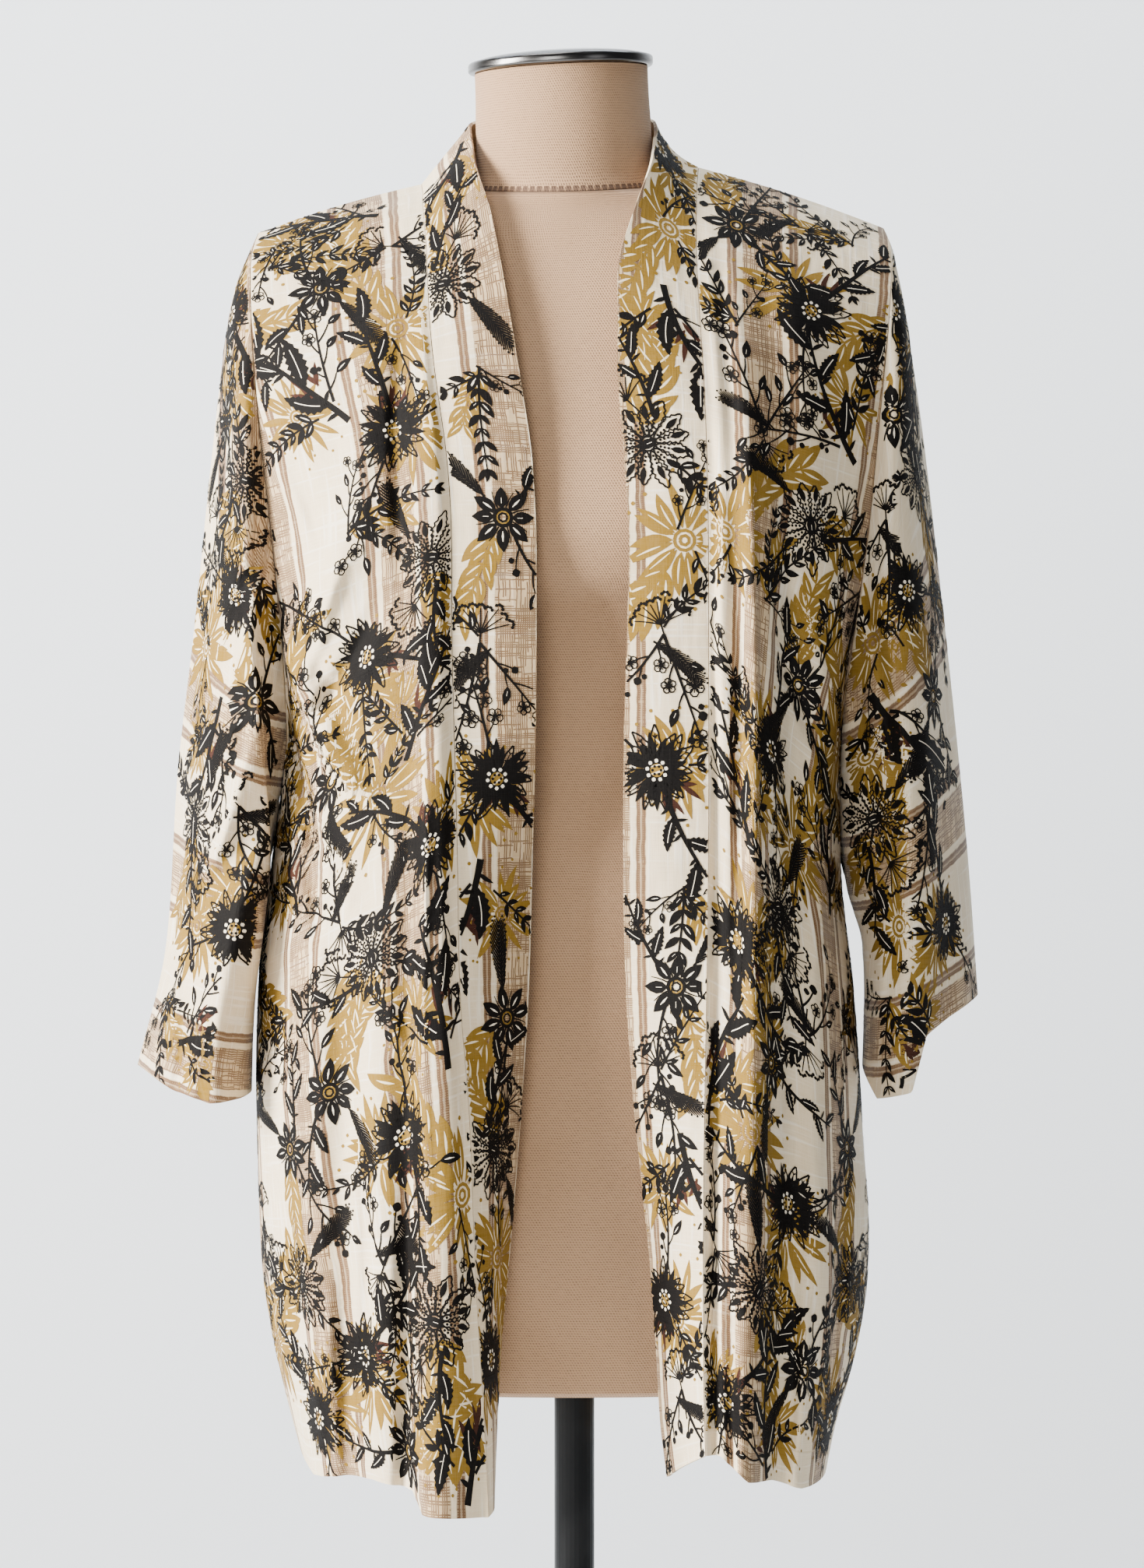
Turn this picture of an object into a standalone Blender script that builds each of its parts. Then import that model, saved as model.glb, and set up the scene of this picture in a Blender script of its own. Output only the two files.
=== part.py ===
"""Kimono jacket of printed cloth, hanging open on a limbless dress form with a metal neck cap,
a pole and a round base. Lengths are in millimetres until a mesh is made. The front faces -Y,
+Z is up and the origin is the centre of the base's underside. A table's side "right" is the
wearer's right, at -X, and "left" is the wearer's left, at +X."""

import math

import bmesh
import bpy
import numpy as np
from mathutils import Vector
from mathutils.bvhtree import BVHTree

MM = 0.001

# Cloth
CLOTH_COLOUR = (0.78, 0.73, 0.64)
WALL = 1.2
BAND_WALL = 2.0
SEAM_TAKE = 0.15
BAND_TAKE = 0.45
FORM_CLEARANCE = 1.3
SLEEVE_SHIFT = 0.25
HEM_BLEND = 0.09

# Grids: rows of the body below and above the armpit, and columns across each piece
ROWS_SIDE = 12
ROWS_ARMHOLE = 12
SLEEVE_ROWS = 14
BAND_COLUMNS = 4
NECK_COLUMNS = 6
SHOULDER_COLUMNS = 8
FRONT_COLUMNS = (0, 0.04, 0.09, 0.14, 0.19, 0.24, 0.29, 0.34, 0.40, 0.46, 0.53, 0.60, 0.68, 0.77, 0.88, 1)

# Form
FORM_SIDES = 44
NECK_CENTRE_X = -6.0
NECK_LEAN = 0.04
CAP_TILT = math.radians(2.9)
POLE_RADIUS = 12.0
BASE_RADIUS = 185.0
TORSO_BOTTOM = 557.0

# Torso sections: height, half width, front depth, back depth, roundness power
TORSO = (
    (557, 147, -80, 92, 2.3),
    (560, 151, -84, 96, 2.3),
    (600, 158, -88, 104, 2.3),
    (680, 163, -90, 108, 2.3),
    (760, 158, -89, 106, 2.3),
    (840, 143, -88, 94, 2.3),
    (905, 131, -88, 82, 2.3),
    (960, 133, -93, 79, 2.3),
    (1000, 139, -97, 80, 2.3),
    (1020, 142, -101, 82, 2.3),
    (1037, 145, -112, 84, 2.4),
    (1065, 148, -117, 87, 2.4),
    (1100, 153, -111, 91, 2.3),
    (1150, 161, -95, 95, 2.2),
    (1190, 169, -80, 93, 2.1),
    (1215, 172, -70, 86, 2.0),
    (1235, 166, -61, 77, 1.85),
    (1247, 146, -56, 70, 1.75),
    (1256, 116, -53, 64, 1.75),
    (1264, 84, -51, 57, 1.85),
    (1268, 60, -50, 52, 2.0),
)
SHOULDER_TILT = 0.022
NECK_SEAM_SLOPE = 0.13

# Band seam of each front, from the hem (0) to the shoulder (1): place, x, y, z
SEAM = {
    "right": (
        (0.00, -49.0, -150, 499),
        (0.05, -50.5, -149, 541),
        (0.11, -54.0, -148, 590),
        (0.18, -57.0, -146, 645),
        (0.28, -60.0, -142, 729),
        (0.36, -66.0, -137, 803),
        (0.43, -67.0, -133, 875),
        (0.50, -69.0, -130, 950),
        (0.56, -70.2, -130, 995),
        (0.64, -70.2, -129, 1050),
        (0.72, -72.5, -123, 1100),
        (0.79, -80.0, -108, 1150),
        (0.85, -84.5, -87, 1190),
        (0.90, -86.0, -64, 1222),
        (0.95, -88.0, -34, 1252),
        (1.00, -91.0, 8, 1270),
    ),
    "left": (
        (0.00, 75.0, -148, 533),
        (0.05, 74.4, -147, 556),
        (0.11, 73.9, -146, 592),
        (0.18, 73.8, -144, 645),
        (0.28, 74.6, -140, 729),
        (0.36, 76.0, -136, 802),
        (0.43, 77.0, -133, 872),
        (0.50, 77.2, -130, 950),
        (0.56, 77.1, -130, 997),
        (0.64, 77.0, -128, 1050),
        (0.72, 76.3, -122, 1102),
        (0.79, 74.5, -108, 1155),
        (0.85, 72.0, -87, 1198),
        (0.90, 71.0, -63, 1232),
        (0.95, 72.0, -33, 1263),
        (1.00, 74.0, 8, 1280),
    ),
}

# Side seam, from the hem (0) to the armpit (0.5): place, x, y, z
SIDE = {
    "right": (
        (0.00, -164, 0, 519),
        (0.05, -172, 0, 548),
        (0.11, -180, 0, 583),
        (0.18, -187, 0, 628),
        (0.28, -189, 1, 695),
        (0.36, -190, 2, 752),
        (0.43, -188, 4, 808),
        (0.47, -184, 5, 843),
        (0.50, -180, 4, 872),
    ),
    "left": (
        (0.00, 150.5, 0, 505),
        (0.05, 156.5, 0, 535),
        (0.11, 167.5, 0, 572),
        (0.18, 175.5, 0, 622),
        (0.23, 176.0, 0, 655),
        (0.28, 173.0, 1, 692),
        (0.36, 169.5, 2, 752),
        (0.43, 165.0, 4, 810),
        (0.47, 160.0, 5, 843),
        (0.50, 159.0, 4, 866),
    ),
}

# Armhole seam, from the armpit (0.5) to the shoulder tip (1): place, x, y, z
ARMHOLE = {
    ("right", "front"): (
        (0.50, -180, 4, 872),
        (0.53, -174, -22, 906),
        (0.56, -169, -39, 942),
        (0.64, -172, -56, 1007),
        (0.72, -178, -64, 1070),
        (0.79, -184, -65, 1125),
        (0.85, -188, -58, 1170),
        (0.90, -190, -46, 1203),
        (0.95, -191, -26, 1226),
        (1.00, -188, 6, 1241),
    ),
    ("right", "back"): (
        (0.50, -180, 4, 872),
        (0.53, -176, 26, 906),
        (0.56, -174, 44, 942),
        (0.64, -175, 63, 1007),
        (0.72, -178, 72, 1070),
        (0.79, -183, 73, 1125),
        (0.85, -187, 68, 1170),
        (0.90, -190, 57, 1203),
        (0.95, -191, 36, 1226),
        (1.00, -188, 6, 1241),
    ),
    ("left", "front"): (
        (0.50, 159, 4, 866),
        (0.53, 157, -22, 902),
        (0.56, 157, -37, 940),
        (0.64, 165, -52, 1007),
        (0.72, 173, -60, 1070),
        (0.79, 178, -61, 1127),
        (0.85, 183, -55, 1173),
        (0.90, 186, -44, 1207),
        (0.95, 187, -24, 1231),
        (1.00, 184, 8, 1244),
    ),
    ("left", "back"): (
        (0.50, 159, 4, 866),
        (0.53, 158, 26, 902),
        (0.56, 160, 43, 940),
        (0.64, 166, 62, 1007),
        (0.72, 172, 71, 1070),
        (0.79, 178, 73, 1127),
        (0.85, 182, 68, 1173),
        (0.90, 185, 57, 1207),
        (0.95, 187, 37, 1231),
        (1.00, 184, 8, 1244),
    ),
}

# Centre back, from the hem to the neckline: place, x, y, z
CENTRE_BACK = (
    (0.00, -6, 128, 533),
    (0.05, -6, 127, 558),
    (0.11, -6, 126, 595),
    (0.18, -6, 125, 645),
    (0.28, -6, 122, 730),
    (0.36, -6, 119, 803),
    (0.43, -6, 115, 872),
    (0.50, -6, 112, 948),
    (0.56, -6, 110, 992),
    (0.64, -6, 108, 1045),
    (0.72, -6, 107, 1098),
    (0.79, -6, 104, 1145),
    (0.85, -6, 99, 1183),
    (0.90, -6, 92, 1213),
    (0.95, -6, 83, 1239),
    (1.00, -6, 73, 1261),
)

# How far a row turns towards the side: place, turn
TURN = (
    (0.00, 1.0),
    (0.43, 1.0),
    (0.50, 0.95),
    (0.56, 0.8),
    (0.64, 0.65),
    (0.72, 0.5),
    (0.79, 0.4),
    (0.85, 0.3),
    (0.90, 0.2),
    (0.95, 0.1),
    (1.00, 0.0),
)

# Free edge of the band: place (0 centre back, 1 shoulder, 2 hem), x, y, z
FREE_EDGE = {
    "right": (
        (0.00, -6.0, 61, 1311),
        (0.35, -34.0, 55, 1311),
        (0.70, -56.0, 36, 1310),
        (1.00, -62.5, 8, 1305),
        (1.05, -58.5, -36, 1281),
        (1.10, -49.0, -62, 1251),
        (1.15, -40.0, -86, 1206),
        (1.21, -31.0, -108, 1152),
        (1.28, -23.6, -121, 1100),
        (1.36, -21.4, -127, 1050),
        (1.44, -21.4, -127, 995),
        (1.50, -21.8, -124, 950),
        (1.57, -23.8, -110, 875),
        (1.64, -25.8, -107, 803),
        (1.72, -30.4, -103, 729),
        (1.82, -37.2, -100, 645),
        (1.89, -42.2, -100, 590),
        (1.95, -45.0, -100, 541),
        (2.00, -47.8, -101, 500),
    ),
    "left": (
        (0.00, -6.0, 61, 1311),
        (0.35, 22.0, 55, 1311),
        (0.70, 44.0, 36, 1311),
        (1.00, 49.0, 8, 1305),
        (1.05, 46.0, -36, 1283),
        (1.10, 35.0, -64, 1251),
        (1.15, 25.0, -88, 1213),
        (1.21, 24.5, -108, 1160),
        (1.28, 28.5, -120, 1102),
        (1.36, 31.0, -127, 1050),
        (1.44, 29.6, -128, 997),
        (1.50, 28.2, -127, 950),
        (1.57, 27.7, -127, 872),
        (1.64, 29.2, -119, 802),
        (1.72, 34.2, -111, 729),
        (1.82, 42.8, -105, 645),
        (1.89, 46.8, -104, 592),
        (1.95, 49.4, -104, 548),
        (2.00, 53.5, -104, 514),
    ),
}

# Hem line: x, z
HEM = {
    ("right", "front"): ((-164, 519), (-153, 510), (-135, 514), (-116, 516), (-93, 512), (-87, 500), (-49, 498)),
    ("left", "front"): ((75, 533), (84, 533), (90, 527), (100, 518), (114, 515), (132, 507), (149, 505)),
    ("right", "back"): ((-164, 519), (-140, 514), (-104, 524), (-70, 526), (-36, 534), (-6, 531)),
    ("left", "back"): ((-6, 531), (30, 535), (66, 526), (98, 524), (128, 510), (149, 505)),
}

# Sleeve sections, from the armhole (0) to the cuff (1): place, outer x, z, inner x, z, front y, back y, and
# how far the front of the section leans towards the body
SLEEVE = {
    "right": (
        (0.00, -188, 1241, -180, 872, -65, 73, 0),
        (0.12, -203, 1204, -184, 862, -68, 76, 6),
        (0.30, -215, 1115, -188, 850, -73, 80, 16),
        (0.50, -226, 1010, -191, 835, -78, 84, 25),
        (0.70, -237, 915, -193, 815, -79, 84, 24),
        (0.85, -243, 822, -195, 785, -76, 80, 20),
        (1.00, -261, 746, -194, 733, -71, 74, 14),
    ),
    "left": (
        (0.00, 184, 1244, 159, 866, -61, 73, 0),
        (0.12, 195, 1200, 161, 858, -66, 76, 3),
        (0.30, 207, 1125, 163, 848, -71, 80, 7),
        (0.50, 217, 1040, 167, 836, -75, 83, 9),
        (0.70, 227, 950, 172, 816, -77, 83, 8),
        (0.85, 235, 868, 173, 788, -76, 80, 8),
        (1.00, 241, 787, 172, 748, -73, 77, 8),
    ),
}

# Cuff line away from its plane: share across (-1 inner, 1 outer), drop in front, drop behind
CUFF = {
    "right": ((-1.0, -1, -1), (-0.6, -6, -4), (0.0, -11, -7), (0.6, -8, -8), (1.0, -1, -1)),
    "left": ((-1.0, -2, -2), (-0.68, -24, -9), (-0.05, -31, -13), (0.2, -3, -11), (0.6, -1, -6), (1.0, 0, 0)),
}

# Folds seen from one view: view, width left, width right, points (x, z, depth; a ridge is positive)
FOLDS = {
    "front_right": (
        ("front", 9, 26, ((-84, 1225, 0), (-83, 1180, 3), (-84, 1100, 5), (-86, 1010, 6), (-84, 920, 7),
                          (-82, 830, 9), (-81, 742, 12), (-80, 652, 15), (-80, 567, 17), (-82, 495, 18))),
        ("front", 14, 18, ((-112, 1120, 0), (-124, 1080, 6), (-143, 1030, 9), (-158, 985, 7), (-161, 955, 3))),
        ("front", 14, 14, ((-157, 930, 2), (-141, 893, 6), (-128, 850, 5), (-122, 790, 2), (-121, 740, 0))),
        ("front", 15, 15, ((-158, 880, 0), (-153, 780, 5), (-150, 690, 6), (-150, 600, 5), (-146, 515, 5))),
        ("front", 12, 13, ((-124, 860, 0), (-132, 780, -5), (-134, 690, -7), (-131, 600, -8), (-130, 515, -8))),
        ("front", 14, 12, ((-100, 930, 0), (-108, 830, 4), (-111, 720, 5), (-111, 620, 5), (-112, 515, 5))),
        ("front", 10, 12, ((-110, 1215, 0), (-116, 1180, 3), (-124, 1120, 3), (-130, 1090, 0))),
    ),
    "front_left": (
        ("front", 7, 8, ((78, 1000, 0), (81, 920, -7), (82, 800, -10), (81, 700, -10), (81, 600, -9), (83, 525, -7))),
        ("front", 17, 15, ((88, 1235, 0), (97, 1150, 5), (103, 1080, 9), (106, 1000, 12), (106, 900, 13),
                           (104, 800, 14), (103, 700, 14), (101, 620, 13), (99, 560, 12), (97, 512, 11))),
        ("front", 12, 12, ((120, 1080, 0), (127, 1000, -6), (128, 880, -7), (125, 760, -7), (123, 650, -8),
                           (119, 570, -8), (116, 510, -7))),
        ("front", 12, 12, ((150, 960, 2), (145, 880, 6), (141, 780, 7), (143, 680, 8), (143, 600, 7), (136, 510, 6))),
        ("front", 13, 15, ((126, 1120, 0), (140, 1050, 6), (152, 990, 7), (156, 955, 3))),
        ("front", 10, 10, ((118, 1235, 0), (128, 1180, 3), (139, 1110, 3), (146, 1070, 0))),
    ),
    "back": (
        ("back", 16, 18, ((-120, 1100, 0), (-118, 1000, 6), (-116, 880, 8), (-112, 740, 9), (-110, 620, 10), (-106, 505, 10))),
        ("back", 15, 14, ((-84, 1060, 0), (-82, 930, -5), (-80, 780, -8), (-76, 640, -9), (-72, 505, -9))),
        ("back", 18, 16, ((-52, 1130, 0), (-48, 1000, 5), (-46, 850, 7), (-42, 700, 9), (-38, 505, 9))),
        ("back", 14, 16, ((-10, 1000, 0), (-8, 880, -5), (-5, 720, -8), (0, 505, -8))),
        ("back", 16, 18, ((34, 1120, 0), (36, 980, 5), (36, 840, 8), (34, 680, 9), (32, 505, 10))),
        ("back", 14, 14, ((66, 1040, 0), (68, 900, -6), (68, 740, -8), (66, 505, -9))),
        ("back", 18, 16, ((102, 1110, 0), (104, 980, 6), (102, 840, 8), (100, 680, 9), (98, 505, 9))),
        ("back", 14, 16, ((-114, 1130, 0), (-136, 1060, 6), (-154, 990, 6), (-160, 955, 2))),
        ("back", 16, 14, ((108, 1130, 0), (130, 1060, 6), (148, 990, 6), (155, 955, 2))),
        ("back", 11, 11, ((-160, 900, 0), (-158, 800, -5), (-160, 680, -7), (-156, 590, -6), (-144, 510, -5))),
        ("back", 11, 11, ((138, 900, 0), (138, 800, -5), (146, 690, -7), (144, 590, -6), (132, 510, -5))),
    ),
    "sleeve_right": (
        ("front", 16, 18, ((-186, 1190, 0), (-192, 1130, 5), (-196, 1060, 7), (-205, 980, 8), (-214, 900, 5), (-220, 850, 0))),
        ("front", 12, 14, ((-172, 1000, 0), (-184, 955, 6), (-200, 900, 7), (-214, 860, 4), (-226, 835, 0))),
        ("front", 11, 12, ((-176, 935, 0), (-190, 895, -6), (-206, 850, -6), (-222, 815, 0))),
        ("front", 12, 10, ((-190, 880, 0), (-200, 840, 5), (-208, 790, 7), (-207, 752, 6), (-203, 725, 4))),
        ("front", 9, 9, ((-196, 800, 0), (-199, 765, -7), (-197, 728, -8))),
        ("front", 10, 10, ((-232, 860, 0), (-238, 800, 4), (-244, 740, 4))),
        ("back", 16, 18, ((-188, 1180, 0), (-194, 1100, 6), (-202, 1010, 8), (-210, 910, 7), (-216, 820, 4), (-220, 735, 3))),
        ("back", 12, 12, ((-176, 960, 0), (-190, 900, -6), (-202, 840, -6), (-210, 790, 0))),
    ),
    "sleeve_left": (
        ("front", 20, 24, ((193, 1195, 0), (195, 1150, 7), (196, 1080, 11), (196, 1000, 13), (195, 900, 13),
                           (193, 833, 12), (190, 789, 10), (186, 730, 9))),
        ("front", 10, 10, ((170, 1010, 0), (176, 960, -5), (182, 900, -6), (184, 850, 0))),
        ("front", 10, 12, ((214, 1020, 0), (217, 940, -5), (220, 860, -6), (219, 800, -6), (215, 770, -5))),
        ("back", 16, 18, ((184, 1180, 0), (190, 1100, 6), (196, 1010, 8), (202, 910, 7), (206, 820, 4), (208, 760, 3))),
        ("back", 12, 12, ((168, 960, 0), (176, 900, -6), (186, 840, -6), (196, 790, 0))),
    ),
}
BAND_BULGE = 2.5
SHOULDER_BULGE = {"right": 0.0, "left": -4.0}


def curve(place, table):
    """Values at each place on the smooth curve through a table's rows, whose first column is the place."""
    table = np.asarray(table, float)
    keys = table[:, 0]
    values = table[:, 1:]
    step = np.diff(keys)[:, None]
    slope = np.diff(values, axis=0) / step
    before = slope[:-1]
    after = slope[1:]
    same = before * after > 0
    weight_a = 2 * step[1:] + step[:-1]
    weight_b = step[1:] + 2 * step[:-1]
    safe_before = np.where(same, before, 1)
    safe_after = np.where(same, after, 1)
    mean = (weight_a + weight_b) / (weight_a / safe_before + weight_b / safe_after)
    tangent = np.vstack([slope[:1], np.where(same, mean, 0), slope[-1:]])
    place = np.asarray(place, float)
    row = np.clip(np.searchsorted(keys, place, side="right") - 1, 0, len(keys) - 2)
    width = step[row]
    t = np.clip((place[..., None] - keys[row][..., None]) / width, 0, 1)
    start = (1 + 2 * t) * (1 - t) ** 2 * values[row] + t * (1 - t) ** 2 * width * tangent[row]
    end = t * t * (3 - 2 * t) * values[row + 1] + t * t * (t - 1) * width * tangent[row + 1]
    return start + end


def smooth(t):
    t = np.clip(t, 0, 1)
    return t * t * (3 - 2 * t)


def fold_depth(x, z, folds, view):
    """Depth of all folds of one view at the given points."""
    total = np.zeros_like(x)
    for seen_from, wide_left, wide_right, points in folds:
        if seen_from != view:
            continue
        best = np.full(x.shape, 1e9)
        depth = np.zeros_like(x)
        side = np.zeros_like(x)
        for (x0, z0, d0), (x1, z1, d1) in zip(points[:-1], points[1:]):
            dx = x1 - x0
            dz = z1 - z0
            t = np.clip(((x - x0) * dx + (z - z0) * dz) / (dx * dx + dz * dz), 0, 1)
            away = np.hypot(x - x0 - t * dx, z - z0 - t * dz)
            nearer = away < best
            best = np.where(nearer, away, best)
            depth = np.where(nearer, d0 + (d1 - d0) * t, depth)
            side = np.where(nearer, (x - x0) * dz - (z - z0) * dx, side)
        going_down = points[-1][1] < points[0][1]
        on_left = side > 0 if going_down else side < 0
        wide = np.where(on_left, wide_left, wide_right)
        total += depth * np.clip(1 - (best / (1.35 * wide)) ** 2, 0, 1) ** 2
    return total


def outer_edge(side, face, v):
    below = curve(np.minimum(v, 0.5), SIDE[side])
    above = curve(np.maximum(v, 0.5), ARMHOLE[side, face])
    return np.where(np.asarray(v)[..., None] <= 0.5, below, above)


def hem_shift(x, z, v, side, face):
    table = np.asarray(HEM[side, face], float)
    wanted = np.interp(x, table[:, 0], table[:, 1])
    return (wanted - z[:1]) * smooth(1 - v / HEM_BLEND)


def half_row(start, end, turn, u):
    """Points from the middle of the body to its side, on rows that turn like an oval."""
    across = turn * np.sin(u * math.pi / 2) + (1 - turn) * u
    back = turn * (1 - np.cos(u * math.pi / 2)) + (1 - turn) * u**1.6
    x = start[..., 0:1] + (end[..., 0:1] - start[..., 0:1]) * across
    y = start[..., 1:2] + (end[..., 1:2] - start[..., 1:2]) * back
    z = start[..., 2:3] + (end[..., 2:3] - start[..., 2:3]) * across
    return np.stack([x, y, z], axis=-1)


def front_grid(side, u, v):
    u = np.asarray(u, float)
    v = np.asarray(v, float)
    grid = half_row(curve(v, SEAM[side]), outer_edge(side, "front", v), curve(v, TURN), u)
    x = grid[..., 0]
    z = grid[..., 2]
    z += hem_shift(x[:1], z, v[:, None], side, "front")
    z += 2.0 * np.sin(math.pi * u) * smooth((v[:, None] - 0.9) / 0.1)
    fade = smooth(u / 0.05) * smooth((1 - u) / 0.12) * smooth((1 - v[:, None]) / 0.06)
    grid[..., 1] -= fold_depth(x, z, FOLDS["front_" + side], "front") * fade
    return grid


def top_back_row(side, u):
    """Neckline from the centre back to the shoulder, then the shoulder seam."""
    split = NECK_COLUMNS / (NECK_COLUMNS + SHOULDER_COLUMNS)
    corner = curve(np.array(1.0), SEAM[side])
    middle = curve(np.array(1.0), CENTRE_BACK)
    angle = np.clip(u / split, 0, 1) * math.pi / 2
    neck = np.stack([
        middle[0] + (corner[0] - middle[0]) * np.sin(angle),
        corner[1] + (middle[1] - corner[1]) * np.cos(angle) ** 0.85,
        middle[2] + (corner[2] - middle[2]) * (1 - np.cos(angle)) ** 1.2,
    ], axis=-1)
    out = np.clip((u - split) / (1 - split), 0, 1)
    shoulder = front_grid(side, out, [1.0])[0]
    return np.where((u <= split)[:, None], neck, shoulder)


def back_half(side, u, v):
    v = np.asarray(v, float)
    grid = half_row(curve(v, CENTRE_BACK), outer_edge(side, "back", v), curve(v, TURN), u)
    z = grid[..., 2]
    z += hem_shift(grid[:1, :, 0], z, v[:, None], side, "back")
    top = smooth((v - 0.76) / 0.24)[:, None, None] ** 1.5
    return grid * (1 - top) + top_back_row(side, u)[None] * top


def back_grid(u, v):
    """The whole back: u runs from -1 at the wearer's right to 1 at the left."""
    u = np.asarray(u, float)
    v = np.asarray(v, float)
    right = back_half("right", np.abs(u), v)
    left = back_half("left", np.abs(u), v)
    grid = np.where((u < 0)[None, :, None], right, left)
    fade = smooth((1 - np.abs(u)) / 0.12) * smooth((1 - v[:, None]) / 0.1)
    grid[..., 1] += fold_depth(grid[..., 0], grid[..., 2], FOLDS["back"], "back") * fade
    return grid


def sleeve_grid(side, turns, s):
    """Sleeve loops: turns holds places from 0 (armpit) through 1 (shoulder, in front) to 2 (armpit)."""
    turns = np.asarray(turns, float)
    s = np.asarray(s, float)
    in_front = turns <= 1
    v = np.where(in_front, 0.5 + 0.5 * turns, 1.5 - 0.5 * turns)
    front = curve(v, ARMHOLE[side, "front"])
    back = curve(v, ARMHOLE[side, "back"])
    armhole = np.where(in_front[:, None], front, back)
    first = curve(np.array([0.0]), SLEEVE[side])[0]
    height = np.clip(2 * (armhole[:, 2] - first[3]) / (first[1] - first[3]) - 1, -1, 1)
    angle_armhole = np.arccos(height)
    angle_even = math.pi * np.where(in_front, 1 - turns, turns - 1)
    sign = np.where(in_front, -1.0, 1.0)

    def section(row, angle):
        across = np.cos(angle)
        round_ = np.sin(angle)
        depth = np.where(in_front, -row[..., 4:5], row[..., 5:6])
        middle_x = (row[..., 0:1] + row[..., 2:3]) / 2
        middle_z = (row[..., 1:2] + row[..., 3:4]) / 2
        lean = row[..., 6:7] * round_ * in_front * (1 if side == "right" else -1)
        x = middle_x + (row[..., 0:1] - row[..., 2:3]) / 2 * across + lean
        z = middle_z + (row[..., 1:2] - row[..., 3:4]) / 2 * across
        y = 4 + sign * (depth - 4 * sign) * round_
        return np.stack([x, y, z], axis=-1)

    rows = curve(s, SLEEVE[side])
    even = smooth(s / 0.6)[:, None]
    angle = angle_armhole * (1 - even) + angle_even * even
    grid = section(rows, angle)
    start = section(first[None], angle_armhole[None])[0]
    grid += (armhole - start)[None] * (1 - smooth(s / 0.35))[:, None, None]
    cuff = np.asarray(CUFF[side], float)
    column = np.where(in_front, np.interp(np.cos(angle), cuff[:, 0], cuff[:, 1]),
                      np.interp(np.cos(angle), cuff[:, 0], cuff[:, 2]))
    grid[..., 2] += column * smooth((s[:, None] - 0.7) / 0.3)
    x = grid[..., 0]
    z = grid[..., 2]
    folds = FOLDS["sleeve_" + side]
    in_view = smooth(np.sin(angle) / 0.55) * smooth(s[:, None] / 0.08)
    grid[..., 1] -= fold_depth(x, z, folds, "front") * in_view * in_front
    grid[..., 1] += fold_depth(x, z, folds, "back") * in_view * ~in_front
    return grid


def band_grid(side, across, t, seam):
    """Neckband half: t runs from the centre back (0) past the shoulder (1) to the hem (2)."""
    across = np.asarray(across, float)
    free = curve(np.asarray(t, float), FREE_EDGE[side])
    grid = seam[:, None] + (free - seam)[:, None] * across[None, :, None]
    along = np.gradient(seam, axis=0)
    normal = np.cross(free - seam, along)
    normal /= np.linalg.norm(normal, axis=1, keepdims=True)
    if side == "left":
        normal = -normal
    far = smooth(np.abs(np.asarray(t) - 0.95) / 0.3)[:, None]
    bulge = (SHOULDER_BULGE[side] * (1 - far) + BAND_BULGE * far) * np.sin(math.pi * across)
    grid -= normal[:, None] * bulge[..., None]
    grid[0, :, 0] = NECK_CENTRE_X
    return grid


def normals_of(grid, away_from, closed=False):
    """Unit normals of a grid of points, facing away from the given points."""
    if closed:
        wrapped = np.concatenate([grid[:, -1:], grid, grid[:, :1]], axis=1)
        across = wrapped[:, 2:] - wrapped[:, :-2]
    else:
        across = np.gradient(grid, axis=1)
    along = np.gradient(grid, axis=0)
    normal = np.cross(across, along)
    normal /= np.maximum(np.linalg.norm(normal, axis=-1, keepdims=True), 1e-9)
    facing = np.sum(normal * (grid - away_from))
    return normal if facing > 0 else -normal


def wall_mesh(outer, normal, wall, closed=False):
    """Closed wall between a grid of outer points and the same points moved in."""
    rows, columns = outer.shape[:2]
    inner = outer - normal * wall
    points = np.concatenate([outer.reshape(-1, 3), inner.reshape(-1, 3)])
    count = rows * columns

    def at(i, j, inside=False):
        return i * columns + j % columns + count * inside

    faces = []
    last = columns if closed else columns - 1
    for i in range(rows - 1):
        for j in range(last):
            a, b, c, d = at(i, j), at(i, j + 1), at(i + 1, j + 1), at(i + 1, j)
            straight = np.linalg.norm(points[a] - points[c]) <= np.linalg.norm(points[b] - points[d])
            cell = ((a, b, c), (a, c, d)) if straight else ((a, b, d), (b, c, d))
            faces.extend(cell)
            faces.extend((r + count, q + count, p + count) for p, q, r in cell)
    rims = []
    for j in range(last):
        rims.append((at(0, j + 1), at(0, j)))
        rims.append((at(rows - 1, j), at(rows - 1, j + 1)))
    if not closed:
        for i in range(rows - 1):
            rims.append((at(i, 0), at(i + 1, 0)))
            rims.append((at(i + 1, last), at(i, last)))
    for a, b in rims:
        faces.append((a, b, b + count))
        faces.append((a, b + count, a + count))
    return points, faces


def make_object(name, points, faces, material, shade=True):
    mesh = bpy.data.meshes.new(name)
    mesh.from_pydata([Vector(p) * MM for p in points], [], faces)
    work = bmesh.new()
    work.from_mesh(mesh)
    bmesh.ops.recalc_face_normals(work, faces=work.faces)
    work.to_mesh(mesh)
    work.free()
    obj = bpy.data.objects.new(name, mesh)
    bpy.context.collection.objects.link(obj)
    mesh.materials.append(material)
    if shade:
        mesh.polygons.foreach_set("use_smooth", [True] * len(mesh.polygons))
        mesh.set_sharp_from_angle(angle=math.radians(50))
    return obj


def make_material(name, colour, roughness, metallic=0.0):
    material = bpy.data.materials.new(name)
    material.use_nodes = True
    shader = material.node_tree.nodes["Principled BSDF"]
    shader.inputs["Base Color"].default_value = (*colour, 1)
    shader.inputs["Roughness"].default_value = roughness
    shader.inputs["Metallic"].default_value = metallic
    return material


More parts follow.
